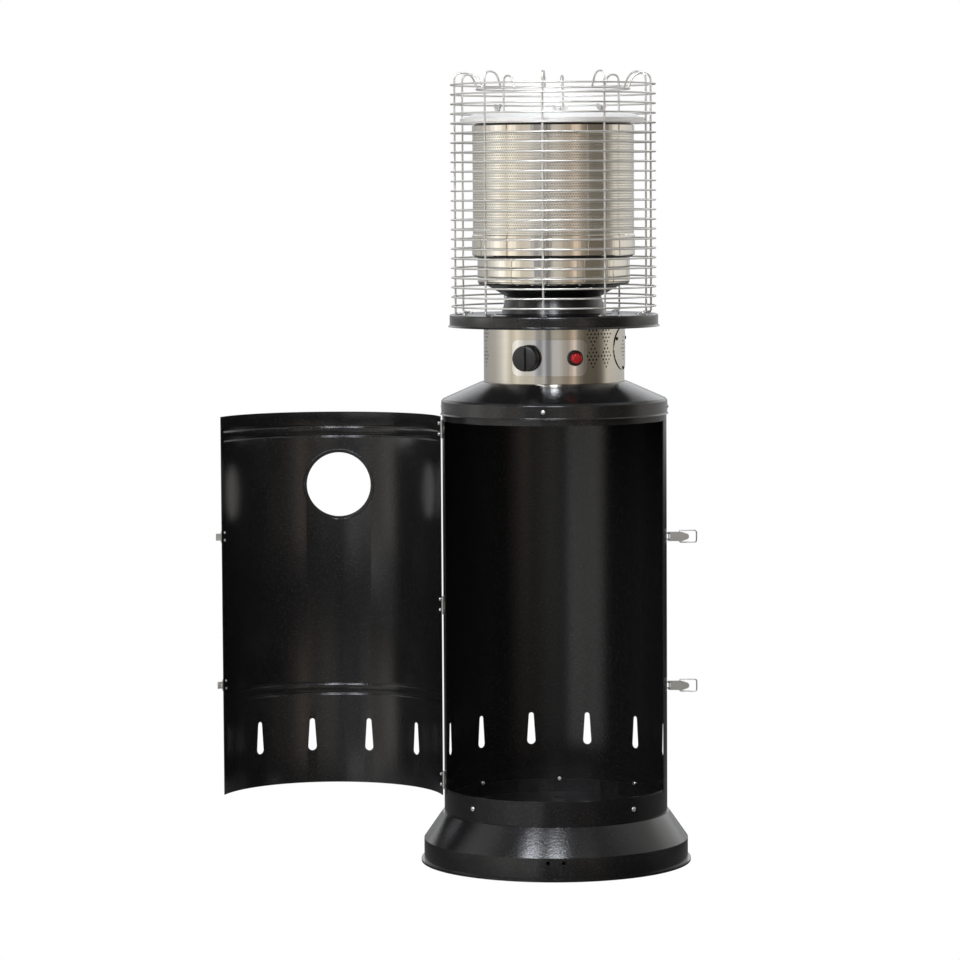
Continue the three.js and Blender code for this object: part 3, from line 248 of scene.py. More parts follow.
# Wire guard
POSTS = 10
POST_RADIUS = 0.169
POST_AZIMUTHS = [-3.9 + 360 * i / POSTS for i in range(POSTS)]
POST_WIRE = 0.0017
RINGS = 24
RING_PITCH = 0.0162
RING_WIRE = 0.00155
RING_BITE = 0.0003
FIRST_RING = 0.0135
TOP_RING_RADIUS = 0.129
TOP_RING_DROP = 0.008
ARCH_RISE = 0.019
ARCH_RUN = 0.014
ARCH_BEND = 0.95  # share of the arch's run that its bends take
FOOT_LENGTH = 0.013
FOOT_BEND = 0.004
POST_BEND_STEPS = 12

# Latch bails
BAIL_HOOK = 0.0036
BAIL_HOOK_BEND = 0.0018
BAIL_BEND = 0.004
BAIL_BEND_STEPS = 5

# Screws: the cover's and the guard's, and any head in shares of its radius and height
COVER_SCREW_CIRCLE = 0.033
COVER_SCREW_RADIUS = 0.003
FOOT_SCREW_INSET = 0.002
FOOT_SCREW_RADIUS = 0.004
HEAD_HEIGHT = 0.55
HEAD_PROFILE = ((0, 0), (1, 0), (1, 0.35), (0.8, 0.8), (0.45, 1), (0, 1))
RECESS_REACH = 0.55
RECESS_WIDTH = 0.13
RECESS_FLOOR = 0.55
RECESS_TOP = 1.5

# Camera and picture, from the photo's perspective
PIXELS = 960
FOCAL_PIXELS = 3900
SENSOR_MM = 36
CAMERA_DISTANCE = 6.6
CAMERA_HEIGHT = 1.150
CAMERA_AZIMUTH = 2.0
CAMERA_ROLL = -0.33
AIM_SIDE = -0.1265
AIM_HEIGHT = 0.6495
CLIP_END = 60
FLOOR_HALF = 12

# Layers of the studio, from the ceiling to the ground: rows of an azimuth and its grey or its
# colour, then rows of a height of the view's direction and its share
CEILING = ((
    (-180, 0.2), (-100, 0.22), (-60, 0.34, 0.34, 0.35), (-38, 0.42, 0.43, 0.49),
    (-18, 0.42, 0.43, 0.49), (0, 0.38, 0.38, 0.42), (30, 0.32, 0.32, 0.33), (60, 0.32), (95, 0.62),
    (140, 0.62), (180, 0.4),
), (
    (-1, 0), (0.36, 0), (0.5, 0.3), (0.63, 0.4), (0.84, 0.8), (0.88, 1), (1, 1),
))
LAMPS = ((
    (-180, 2.8, 2.9, 3), (-174.5, 2.8, 2.9, 3), (-172.5, 0), (-170.5, 0), (-168.5, 1, 1.03, 1.08),
    (-165, 1.2, 1.23, 1.28), (-162.5, 0), (-100, 0), (-95, 0.45, 0.46, 0.48),
    (-72, 0.45, 0.46, 0.48), (-62, 0), (-33, 0), (-29, 28, 29, 31), (-22, 28, 29, 31),
    (-19, 1.2, 1.25, 1.3), (-6, 1.2, 1.25, 1.3), (-1, 30, 31, 33), (6, 30, 31, 33),
    (9, 3.4, 3.5, 3.6), (14, 1.2), (18, 0), (30, 0.5), (44, 0.5), (52, 0), (88, 0.3), (102, 0.3),
    (175.5, 0), (177.5, 2.6, 2.7, 2.8), (180, 2.8, 2.9, 3),
), (
    (-1, 0), (0.42, 0), (0.5, 0.5), (0.62, 1), (0.79, 1), (0.825, 0), (1, 0),
))
BACKDROP = ((
    (-180, 0.8), (-130, 0.66), (-104, 0), (-98, 0), (-93, 0.9, 0.92, 0.95), (-77, 0.9, 0.92, 0.95),
    (-68, 0), (100, 0), (125, 0.62), (180, 0.8),
), (
    (-1, 0), (0.08, 0), (0.16, 1), (0.43, 1), (0.5, 0.12), (0.55, 0), (1, 0),
))
ROOM = ((
    (-180, 0.46, 0.48, 0.51), (-150, 0.44, 0.45, 0.45), (-128, 0.56, 0.56, 0.55),
    (-110, 0.68, 0.67, 0.65), (-98, 0.92, 0.91, 0.88), (-84, 1.4, 1.38, 1.33),
    (-77, 1.1, 1.07, 0.98), (-72, 0.9, 0.83, 0.7), (-60, 1.3, 1.24, 1.12), (-46, 0.7, 0.66, 0.59),
    (-36, 0.72, 0.67, 0.6), (-30, 0.74, 0.72, 0.68), (-26, 0.38, 0.38, 0.4), (-20, 0.3, 0.3, 0.32),
    (-15, 0.56, 0.55, 0.53), (-12, 0.52, 0.51, 0.5), (-9, 0.26, 0.26, 0.27), (-4, 0.28),
    (0, 0.62, 0.6, 0.56), (10, 0.64, 0.61, 0.56), (16, 0.5, 0.45, 0.39), (25, 0.42, 0.37, 0.31),
    (30, 0.66, 0.54, 0.46), (36, 0.95, 0.8, 0.66), (40, 0.44, 0.39, 0.33), (52, 0.18, 0.16, 0.13),
    (78, 0.16, 0.145, 0.12), (88, 0.32, 0.3, 0.27), (100, 0.92, 0.89, 0.83),
    (140, 0.74, 0.74, 0.72), (180, 0.46, 0.48, 0.51),
), (
    (-1, 0.85), (-0.4, 0.85), (-0.28, 0.1), (-0.14, 0.02), (-0.076, 0.03), (-0.054, 1), (0.4, 0.8),
    (0.6, 0.25), (0.7, 0.05), (1, 0),
))
LOW_ROOM = ((
    (-180, 0), (-74, 0), (-64, 0.2, 0.2, 0.22), (-54, 0.4, 0.4, 0.42), (-47, 1.1, 1.1, 1.09),
    (-37, 1.25, 1.24, 1.2), (-30, 0.98, 0.98, 0.95), (-24, 1.6, 1.57, 1.5), (-14, 1.55, 1.52, 1.46),
    (-10, 0.24), (8, 0.22, 0.22, 0.21), (22, 0.09, 0.09, 0.08), (46, 0.05), (60, 0), (180, 0),
), (
    (-1, 0), (-0.2, 0), (-0.16, 0.3), (-0.12, 1), (-0.076, 1), (-0.054, 0), (1, 0),
))
GROUND = ((
    (-180, 0.2), (-90, 0.16), (-80, 0.5), (-58, 0.52), (-49, 0.3), (-27, 0.12, 0.12, 0.14),
    (10, 0.12), (36, 0.05), (90, 0.06), (120, 0.2), (180, 0.2),
), (
    (-1, 0), (-0.3, 0), (-0.22, 0.6), (-0.16, 0.6), (-0.12, 0), (1, 0),
))
STUDIO = (CEILING, LAMPS, BACKDROP, ROOM, LOW_ROOM, GROUND)


# Places and outlines


def rotation(degrees, axis):
    """A turn about one axis."""
    return Matrix.Rotation(math.radians(degrees), 4, axis)


def polar(radius, azimuth, height):
    """A point round the heater's axis."""
    turn = math.radians(azimuth)
    return Vector((AXIS_X + radius * math.sin(turn), AXIS_Y - radius * math.cos(turn), height))


def outward_frame(azimuth, height, radius=0.0):
    """A place whose Z points out from the axis, with Y up."""
    place = Matrix.Translation(polar(radius, azimuth, height))
    return place @ rotation(azimuth, "Z") @ rotation(90, "X")


def inward_frame(azimuth, height, radius):
    """The same place with its Z pointing in."""
    return outward_frame(azimuth, height, radius) @ rotation(180, "Y")


def arc(centre, radius, start, end, steps=12):
    """Points of an arc, in degrees from +X."""
    points = []
    for step in range(steps + 1):
        turn = math.radians(start + (end - start) * step / steps)
        points.append((centre[0] + radius * math.cos(turn), centre[1] + radius * math.sin(turn)))
    return points


def spread(count, pitch, middle=0.0):
    """Even places about a middle."""
    return [middle + (i - (count - 1) / 2) * pitch for i in range(count)]


def slot_outline():
    """The tapered vent slot, narrow end up."""
    head = arc((0, SLOT_HEIGHT / 2 - SLOT_HEAD_RADIUS), SLOT_HEAD_RADIUS, 0, 180)
    foot = arc((0, SLOT_FOOT_RADIUS - SLOT_HEIGHT / 2), SLOT_FOOT_RADIUS, 180, 360)
    return head + foot


def rounded_outline(width, height, corner):
    """A rectangle with round corners."""
    x, y = width / 2 - corner, height / 2 - corner
    centres = ((x, y), (-x, y), (-x, -y), (x, -y))
    return [
        point for i, centre in enumerate(centres)
        for point in arc(centre, corner, 90 * i, 90 * (i + 1))
    ]


def circle_outline(radius, sides=FINE_SIDES):
    """A circle, without its first point twice."""
    return arc((0, 0), radius, 0, 360 - 360 / sides, sides - 1)


def ring_section(inner, outer, bottom, top):
    """The profile of a plain ring."""
    return [(inner, bottom), (outer, bottom), (outer, top), (inner, top)]


def bend(start, corner, end, steps):
    """A smooth bend from start to end, drawn towards the corner."""
    points = []
    for step in range(steps + 1):
        t = step / steps
        points.append(tuple(
            (1 - t) ** 2 * a + 2 * t * (1 - t) * b + t * t * c
            for a, b, c in zip(start, corner, end)
        ))
    return points


def bent_path(corners, reaches, steps):
    """A path through corners, the inner ones rounded over their reaches."""
    corners = [Vector(corner) for corner in corners]
    path = [tuple(corners[0])]
    for i, reach in enumerate(reaches, 1):
        before, corner, after = corners[i - 1:i + 2]
        start = corner + (before - corner).normalized() * reach
        end = corner + (after - corner).normalized() * reach
        path += bend(start, corner, end, steps)
    return [*path, tuple(corners[-1])]


# Meshes


def new_object(name, data):
    """A linked object with this data."""
    piece = bpy.data.objects.new(name, data)
    bpy.context.scene.collection.objects.link(piece)
    return piece


def mesh_object(name, vertices, faces):
    """A new object with a mesh."""
    mesh = bpy.data.meshes.new(name)
    mesh.from_pydata([tuple(vertex) for vertex in vertices], [], faces)
    mesh.validate()
    mesh.update()
    return new_object(name, mesh)


def facing_out(piece):
    """The piece with its faces turned outward."""
    mesh = bmesh.new()
    mesh.from_mesh(piece.data)
    bmesh.ops.recalc_face_normals(mesh, faces=mesh.faces)
    mesh.to_mesh(piece.data)
    mesh.free()
    return piece


def smooth(piece, angle):
    """Smooth shading except over edges sharper than the angle."""
    piece.data.shade_smooth()
    piece.data.set_sharp_from_angle(angle=math.radians(angle))
    return piece


def bevelled(piece, width, segments=3, angle=25):
    """Rounds every edge sharper than the angle."""
    bevel = piece.modifiers.new("bevel", "BEVEL")
    bevel.width = width
    bevel.segments = segments
    bevel.limit_method = "ANGLE"
    bevel.angle_limit = math.radians(angle)
    return piece


def final_mesh(piece):
    """A new mesh of the piece as its modifiers or its curve leave it."""
    bpy.context.view_layer.update()
    graph = bpy.context.evaluated_depsgraph_get()
    return bpy.data.meshes.new_from_object(piece.evaluated_get(graph))


def baked(piece):
    """The piece with its modifiers worked into its mesh."""
    mesh = final_mesh(piece)
    piece.modifiers.clear()
    piece.data = mesh
    return piece


def combined(piece, cutters, operation="DIFFERENCE"):
    """The piece after a cut by, or an overlap with, each cutter."""
    for cutter in cutters:
        step = piece.modifiers.new("combine", "BOOLEAN")
        step.operation = operation
        step.object = cutter
        step.solver = "EXACT"
    baked(piece)
    for cutter in cutters:
        bpy.data.objects.remove(cutter)
    return piece


def one_object(name, pieces):
    """Several mesh pieces as one."""
    vertices, faces = [], []
    for piece in pieces:
        start = len(vertices)
        vertices += [piece.matrix_world @ vertex.co for vertex in piece.data.vertices]
        faces += [[start + index for index in face.vertices] for face in piece.data.polygons]
        bpy.data.objects.remove(piece)
    return mesh_object(name, vertices, faces)


def turned(name, profile, place=AXIS, sides=SIDES):
    """A profile of (radius, height) turned round Z: a closed one, or one that ends on the axis."""
    rings = [point for point in profile if point[0] > 0]
    closed = len(rings) == len(profile)
    vertices, faces = [], []
    for step in range(sides):
        turn = 2 * math.pi * step / sides
        vertices += [place @ Vector((r * math.sin(turn), -r * math.cos(turn), z)) for r, z in rings]
    count = len(rings)
    for step in range(sides):
        here = step * count
        there = (step + 1) % sides * count
        for i in range(count if closed else count - 1):
            j = (i + 1) % count
            faces.append([here + i, there + i, there + j, here + j])
    if not closed:
        faces.append([step * count for step in reversed(range(sides))])
        faces.append([step * count + count - 1 for step in range(sides)])
    return facing_out(mesh_object(name, vertices, faces))


def prism(name, outline, bottom, top, place):
    """A flat outline drawn out along Z between two heights, then placed."""
    count = len(outline)
    vertices = [place @ Vector((x, y, z)) for z in (bottom, top) for x, y in outline]
    faces = [list(reversed(range(count))), list(range(count, 2 * count))]
    faces += [[i, (i + 1) % count, count + (i + 1) % count, count + i] for i in range(count)]
    return facing_out(mesh_object(name, vertices, faces))


def wall_cutter(outline, azimuth, height, wall, share=0.1):
    """A cutter through a wall, by a share of its radius to both sides."""
    place = outward_frame(azimuth, height)
    return prism("cutter", outline, wall * (1 - share), wall * (1 + share), place)


def round_cutter(radius, azimuth, height, wall, share=0.1, sides=FINE_SIDES):
    """A round cutter through a wall."""
    return wall_cutter(circle_outline(radius, sides), azimuth, height, wall, share)


def slot_cutters(count, middle):
    """Cutters for vent slots spread round one side."""
    return [
        wall_cutter(slot_outline(), azimuth, SLOT_MIDDLE, BODY_RADIUS)
        for azimuth in spread(count, SLOT_PITCH, middle)
    ]


def vent_cutter(rows, azimuth, middle):
    """One cutter for a diamond of round vents."""
    holes = []
    for count, height in zip(rows, spread(len(rows), VENT_ROW_PITCH, middle)):
        for side in spread(count, VENT_PITCH):
            turn = azimuth + math.degrees(side / BAND_RADIUS)
            holes.append(round_cutter(VENT_RADIUS, turn, height, BAND_RADIUS, 0.05, VENT_SIDES))
    return one_object("vents", holes)


def wire_piece(name, routes, radius, cyclic=False):
    """One mesh of round wires along routes of points."""
    curve = bpy.data.curves.new(name, "CURVE")
    curve.dimensions = "3D"
    curve.bevel_depth = radius
    curve.bevel_resolution = 6
    curve.use_fill_caps = True
    for route in routes:
        spline = curve.splines.new("POLY")
        spline.points.add(len(route) - 1)
        for point, place in zip(spline.points, route):
            point.co = (*place, 1)
        spline.use_cyclic_u = cyclic
        spline.use_smooth = True
    drawn = new_object(name, curve)
    mesh = final_mesh(drawn)
    mesh.shade_smooth()
    bpy.data.objects.remove(drawn)
    return new_object(name, mesh)


# Materials


def gray(level):
    """A colour of three equal parts."""
    return (level, level, level)


class Nodes:
    """A node tree and what builds it up."""

    def __init__(self, tree):
        self.tree = tree

    def node(self, kind, **values):
        """A new node with values for its inputs, whose names have underscores for blanks."""
        made = self.tree.nodes.new(f"ShaderNode{kind}")
        for key, value in values.items():
            made.inputs[key.replace("_", " ")].default_value = value
        return made

    def link(self, start, end):
        self.tree.links.new(start, end)

    def step(self, kind, operation, *values):
        """The outputs of a math node fed with sockets or plain values."""
        made = self.node(kind)
        made.operation = operation
        for socket, value in zip(made.inputs, values):
            if isinstance(value, bpy.types.NodeSocket):
                self.link(value, socket)
            else:
                socket.default_value = value
        return made.outputs

    def math(self, operation, *values):
        return self.step("Math", operation, *values)["Value"]

    def vector(self, operation, *values):
        return self.step("VectorMath", operation, *values)["Vector"]

    def parts(self, vector):
        """The X, Y and Z of a vector."""
        split = self.node("SeparateXYZ")
        self.link(vector, split.inputs["Vector"])
        return split.outputs

    def ramp(self, value, low, high, rows):
        """A colour ramp over a value's range, from rows of a place and its colour."""
        mapped = self.node("MapRange", From_Min=low, From_Max=high)
        self.link(value, mapped.inputs["Value"])
        ramp = self.node("ValToRGB")
        self.link(mapped.outputs["Result"], ramp.inputs["Fac"])
        elements = ramp.color_ramp.elements
        elements[0].position, elements[-1].position = 0, 1
        colors = [(*color * 3, 1) if len(color) == 1 else (*color, 1) for _, *color in rows]
        elements[0].color, elements[-1].color = colors[0], colors[-1]
        first, last = rows[0][0], rows[-1][0]
        for (place, *_), color in zip(rows[1:-1], colors[1:-1]):
            elements.new((place - first) / (last - first)).color = color
        return ramp.outputs["Color"]

    def camera_sees(self, seen, plain, surface):
        """Gives a surface one shader for the camera and a plain one for every other ray."""
        mix = self.node("MixShader")
        self.link(self.node("LightPath").outputs["Is Camera Ray"], mix.inputs["Fac"])
        self.link(plain, mix.inputs[1])
        self.link(seen, mix.inputs[2])
        self.link(mix.outputs["Shader"], surface)


class Finish(Nodes):
    """A node material built up from textures that move with the piece."""

    def __init__(self, name, color, roughness, metallic=0.0):
        self.material = bpy.data.materials.new(name)
        self.material.use_nodes = True
        super().__init__(self.material.node_tree)
        self.shader = self.tree.nodes["Principled BSDF"]
        self.color = (*color, 1)
        self.roughness = roughness
        self.shader.inputs["Base Color"].default_value = self.color
        self.shader.inputs["Roughness"].default_value = roughness
        self.shader.inputs["Metallic"].default_value = metallic
        self.coordinates = self.node("TexCoord").outputs["Object"]

    def noise(self, scale, detail=3.0, stretch=(1, 1, 1), roughness=0.55):
        """A noise over the stretched coordinates."""
        mapping = self.node("Mapping", Scale=stretch)
        self.link(self.coordinates, mapping.inputs["Vector"])
        texture = self.node("TexNoise", Scale=scale, Detail=detail, Roughness=roughness)
        self.link(mapping.outputs["Vector"], texture.inputs["Vector"])
        return texture.outputs["Fac"]

    def ranged(self, value, low, high, from_low=0.3, from_high=0.7):
        """A value from a texture brought into a range."""
        mapped = self.node("MapRange", From_Min=from_low, From_Max=from_high,
                           To_Min=low, To_Max=high)
        self.link(value, mapped.inputs["Value"])
        return mapped.outputs["Result"]

    def roughen(self, value, low=0.8, high=1.3):
        """Varies the roughness between two shares of it."""
        varied = self.ranged(value, self.roughness * low, self.roughness * high)
        self.link(varied, self.shader.inputs["Roughness"])

    def tint(self, value, other):
        """Mixes the base colour towards another one."""
        mix = self.node("Mix")
        mix.data_type = "RGBA"
        mix.inputs["A"].default_value = self.color
        mix.inputs["B"].default_value = (*other, 1)
        self.link(value, mix.inputs["Factor"])
        self.link(mix.outputs["Result"], self.shader.inputs["Base Color"])

    def bump(self, value, strength, distance):
        bump = self.node("Bump", Strength=strength, Distance=distance)
        self.link(value, bump.inputs["Height"])
        self.link(bump.outputs["Normal"], self.shader.inputs["Normal"])


def enamel(name, color=(0.0056, 0.0056, 0.0059), roughness=0.155):
    """Black gloss enamel with a fine orange-peel skin and faint specks."""
    made = Finish(name, color, roughness)
    made.bump(made.noise(360, detail=2), strength=0.8, distance=0.00026)
    made.roughen(made.noise(900, detail=2))
    specks = made.noise(430, detail=1)
    made.tint(made.ranged(specks, 0, 1, from_low=0.46, from_high=0.74), (0.017, 0.017, 0.0185))
    return made.material


def steel(name, color, roughness, streak, metallic=1.0):
    """Polished or brushed steel with streaks along one direction."""
    made = Finish(name, color, roughness, metallic)
    lines = made.noise(9, 6, streak, roughness=0.7)
    made.roughen(lines)
    made.tint(made.noise(7), tuple(0.9 * part for part in color))
    made.bump(lines, strength=0.02, distance=0.0005)
    return made.material


def wavy(name, color, roughness, warm, relief=0.9):
    """Thin polished sheet whose slight upright waves break up what it mirrors."""
    made = Finish(name, color, roughness, 1.0)
    made.bump(made.noise(9, stretch=(7, 7, 0.4), roughness=0.6), relief, distance=0.0005)
    made.tint(made.noise(7, stretch=(3, 3, 0.5)), warm)
    made.roughen(made.noise(9, 6, stretch=(1, 1, 60), roughness=0.7))
    return made.material


def perforated(name, color, holes_round, row_pitch):
    """Steel screen with rows of small round holes, every other row shifted by half a hole, and
    painted shade tinting each hole darker.
    """
    made = Finish(name, color, roughness=0.3, metallic=0.93)
    x, y, z = made.parts(made.vector("SUBTRACT", made.coordinates, (AXIS_X, AXIS_Y, 0)))
    around = made.math("MULTIPLY", made.math("ARCTAN2", y, x), holes_round / (2 * math.pi))
    row = made.math("DIVIDE", z, row_pitch)
    parity = made.math("MODULO", made.math("FLOOR", row), 2)
    shifted = made.math("ADD", around, made.math("MULTIPLY", parity, 0.5))
    squares = []
    for place in (shifted, row):
        off = made.math("SUBTRACT", made.math("FRACT", place), 0.5)
        squares.append(made.math("POWER", off, 2))
    reach = made.math("SQRT", made.math("ADD", *squares))
    hole = made.ranged(reach, 1, 0, from_low=0.20, from_high=0.34)
    # Painted shade: each hole is tinted darker and browner
    made.tint(hole, (0.30, 0.27, 0.22))
    relief = made.ranged(reach, 0, 1, from_low=0.2, from_high=0.4)
    made.bump(relief, strength=0.15, distance=0.0005)
    made.link(made.ranged(hole, 0.17, 0.5, 0, 1), made.shader.inputs["Roughness"])
    return made.material


def plastic(name, color, roughness):
    """Moulded plastic with a fine grain."""
    made = Finish(name, color, roughness)
    made.bump(made.noise(2200, detail=2), strength=0.15, distance=0.0003)
    made.roughen(made.noise(60), 0.85, 1.2)
    made.tint(made.noise(90), tuple(min(1, part * 1.25 + 0.002) for part in color))
    return made.material


FINISHES = {
    "coat": enamel("black_enamel"),
    "tray_steel": enamel("tray_enamel", (0.0045, 0.0045, 0.005), 0.3),
    "band_steel": wavy("band_steel", (0.61, 0.59, 0.54), 0.10, (0.55, 0.51, 0.44), relief=0.35),
    "plate_mirror": wavy("mirror_plate", gray(0.72), 0.05, gray(0.66), relief=0.3),
    "burner_dark": enamel("burner_enamel", (0.006, 0.006, 0.007), 0.2),
    "bowl_steel": wavy("bowl_steel", (0.84, 0.82, 0.77), 0.07, (0.72, 0.67, 0.58)),
    "emitter_steel": perforated("emitter_screen", (0.92, 0.89, 0.82), 190, 0.0043),
    "reflector_alu": steel("reflector_aluminium", gray(0.93), 0.42, (60, 60, 1), metallic=0.55),
    "guard_wire": steel("guard_wire", (0.76, 0.75, 0.73), 0.38, (3, 3, 3), metallic=0.85),
}
for slot_name, color, roughness, stretch in (
    ("latch_dark", (0.10, 0.10, 0.105), 0.4, 40),
    ("latch_bright", (0.60, 0.59, 0.56), 0.34, 40),
    ("bail_wire", gray(0.40), 0.34, 3),
    ("hinge_zinc", (0.60, 0.60, 0.61), 0.35, 40),
    ("fixings", gray(0.78), 0.32, 50),
    ("valve_alloy", gray(0.5), 0.45, 20),
    ("brass", (0.70, 0.50, 0.22), 0.3, 20),
    ("inner_steel", gray(0.45), 0.35, 20),
):
    FINISHES[slot_name] = steel(slot_name, color, roughness, (stretch, stretch, stretch))
for slot_name, color, roughness in (
    ("knob_plastic", (0.014, 0.014, 0.015), 0.33),
    ("inner_plastic", gray(0.03), 0.5),
    ("button_red", (0.44, 0.008, 0.012), 0.22),
):
    FINISHES[slot_name] = plastic(slot_name, color, roughness)
SCREEN_BAND = wavy("emitter_band", (0.84, 0.81, 0.75), 0.09, (0.74, 0.68, 0.60))


def finished(piece, slot_name):
    """Gives the piece its slot's material."""
    piece.data.materials.clear()
    piece.data.materials.append(FINISHES[slot_name])
    return piece


def second_material(piece, material, low, high):
    """Gives another material to the faces whose middle lies outside two heights."""
    piece.data.materials.append(material)
    for face in piece.data.polygons:
        if not low <= face.center.z <= high:
            face.material_index = 1


def replacing(piece, node):
    """The piece rides on the CAD node's body, and the node it stands in for is hidden."""
    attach(piece, BODY_OF[node])
    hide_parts(node)
    return piece


def dressed(piece, node, angle=40):
    """The piece, shaded and finished, in place of a CAD node."""
    return replacing(finished(smooth(piece, angle), SLOT_OF[node]), node)


def added(piece, slot_name, body="heater"):
    """A piece that stands for no node of its own."""
    finished(piece, slot_name)
    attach(piece, body)


def lathe_piece(node, profile, round_off=0.0008, segments=3, cutters=()):
    """A turned piece that stands for a CAD node."""
    piece = turned(f"{node}_smooth", profile)
    if cutters:
        combined(piece, cutters)
    if round_off:
        bevelled(piece, round_off, segments)
    dressed(piece, node)


# Sheet-metal pieces


def base_pan():
    """The stepped pan with its lip and collar."""
    collar = BODY_RADIUS - SHEET - GAP
    holes = [
        round_cutter(STRAP_HOLE_RADIUS, azimuth, STRAP_HOLE_HEIGHT, SKIRT_RADIUS)
        for azimuth in STRAP_HOLE_AZIMUTHS
    ]
    lathe_piece("base_pan", [
        (LIP_RADIUS, base_low.z), (LIP_RADIUS, LIP_HEIGHT), (SKIRT_RADIUS, LIP_HEIGHT),
        (SKIRT_RADIUS, SKIRT_TOP), (LEDGE_RADIUS, LEDGE_HEIGHT), (collar, LEDGE_HEIGHT),
        (collar, base_high.z), (collar - SHEET, base_high.z),
        (collar - SHEET, LEDGE_HEIGHT - SHEET), (LEDGE_RADIUS - SHEET / 2, LEDGE_HEIGHT - SHEET),
        (SKIRT_RADIUS - SHEET, SKIRT_TOP - SHEET / 2), (SKIRT_RADIUS - SHEET, base_low.z),
    ], BASE_ROUND, segments=4, cutters=holes)


def body_shell():
    """The cabinet's drum with its opening and slots."""
    face = BODY_RADIUS * math.cos(math.radians(OPENING_HALF_ANGLE))
    outline = [(-1, -1), (1, -1), (1, -face), (-1, -face)]
    opening = prism("opening", outline, OPENING_BOTTOM, OPENING_TOP, AXIS)
    section = ring_section(BODY_RADIUS - SHEET, BODY_RADIUS, *heights("body_shell"))
    cutters = [opening, *slot_cutters(BODY_SLOTS, 180)]
    lathe_piece("body_shell", section, round_off=0, cutters=cutters)


def door_radius(height, azimuth, radius):
    """The door's radius with its raised beads, which fade out near both ends."""
    ends = min(1, max(0, (BEAD_HALF_ANGLE + BEAD_FADE - abs(azimuth)) / BEAD_FADE))
    rise = 0
    for bead in BEAD_HEIGHTS:
        off = abs(height - bead) / (BEAD_HEIGHT / 2)
        if off < 1:
            rise = BEAD_DEPTH * (0.5 + 0.5 * math.cos(math.pi * off))
    return radius + rise * ends


def door_levels():
    """Heights of the door's rows of points, closer on the beads."""
    levels = [*heights("door_panel")]
    for bead in BEAD_HEIGHTS:
        levels += [bead + BEAD_HEIGHT * (step / BEAD_STEPS - 0.5) for step in range(BEAD_STEPS + 1)]
    return sorted(levels)


def door_swing():
    """The turn from the shut door to the open one."""
    hinge = Vector(HINGE["pos_m"])
    turn = rotation(-HINGE["range_deg"][1], "Z")
    return Matrix.Translation(hinge) @ turn @ Matrix.Translation(-hinge)


def door_panel():
    """The beaded door, built shut and turned open."""
    levels = door_levels()
    span = DOOR_FREE_EDGE - DOOR_HINGE_EDGE
    vertices, faces = [], []
    for column in range(DOOR_COLUMNS + 1):
        azimuth = DOOR_HINGE_EDGE + span * column / DOOR_COLUMNS
        for radius in (DOOR_RADIUS, DOOR_RADIUS + SHEET):
            for height in levels:
                vertices.append(polar(door_radius(height, azimuth, radius), azimuth, height))
    rows = len(levels)
    stride = 2 * rows
    for column in range(DOOR_COLUMNS):
        here, there = column * stride, (column + 1) * stride
        for row in range(rows - 1):
            faces.append([here + row, here + row + 1, there + row + 1, there + row])
            low = rows + row
            faces.append([there + low, there + low + 1, here + low + 1, here + low])
        for row in (0, rows - 1):
            faces.append([here + row, there + row, there + rows + row, here + rows + row])
    for start in (0, DOOR_COLUMNS * stride):
        for row in range(rows - 1):
            faces.append([start + row, start + row + 1, start + rows + row + 1, start + rows + row])
    door = facing_out(mesh_object("door_panel_smooth", vertices, faces))
    port = prism("port", circle_outline(PORT_RADIUS, RIM_SIDES), BODY_RADIUS / 2, BODY_RADIUS * 1.2,
                 outward_frame(0, PORT_HEIGHT))
    combined(door, [port, *slot_cutters(DOOR_SLOTS, 0)])
    door.data.transform(door_swing())
    dressed(door, "door_panel")


def door_port_rings():
    """The rolled edge and the bead round the port."""
    rings = (
        ("door_port_lip", PORT_RADIUS + PORT_LIP / 2, DOOR_RADIUS + SHEET + PORT_LIP, PORT_LIP),
        ("door_port_bead", PORT_BEAD_RADIUS, DOOR_RADIUS + PORT_BEAD * PORT_BEAD_PROUD, PORT_BEAD),
    )
    for name, radius, wall, wire in rings:
        route = []
        for side, rise in circle_outline(radius, RIM_SIDES):
            depth = math.sqrt(wall ** 2 - side ** 2)
            spot = Vector((AXIS_X + side, AXIS_Y - depth, PORT_HEIGHT + rise))
            route.append(door_swing() @ spot)
        added(wire_piece(name, [route], wire, cyclic=True), "coat", "door")


def shoulder_cover():
    """The sloped cover with its lipped rim."""
    bottom, top = heights("shoulder_cover")
    rim_inner = BODY_RADIUS + RIM_GAP
    rim_outer = rim_inner + SHEET
    collar = BAND_RADIUS - SHEET - GAP
    slope_top = (SLOPE_TOP_RADIUS, SHOULDER_TOP - SHEET)
    band_foot = (BAND_RADIUS + FILLET_RUN, SHOULDER_TOP)
    corner = ((slope_top[0] + band_foot[0]) / 2, SHOULDER_TOP)
    lathe_piece("shoulder_cover", [
        (rim_inner, bottom), (rim_outer + RIM_LIP, bottom),
        (rim_outer, bottom + RIM_LIP_HEIGHT), (rim_outer, RIM_TOP - RIM_ROUND),
        (rim_outer - RIM_ROUND, RIM_TOP + RIM_CROWN),
        *bend(slope_top, corner, band_foot, FILLET_STEPS), (collar, SHOULDER_TOP),
        (collar, top), (collar - SHEET, top),
        (collar - SHEET, SHOULDER_TOP - 2 * SHEET), (rim_inner, RIM_TOP - SHEET),
    ])


def control_holes():
    """Cutters for the knob's stem and the igniter."""
    holes = ((STEM_HOLE_RADIUS, KNOB_AZIMUTH), (IGNITER_HOLE_RADIUS, IGNITER_AZIMUTH))
    return [round_cutter(*hole, CONTROL_HEIGHT, BAND_RADIUS) for hole in holes]


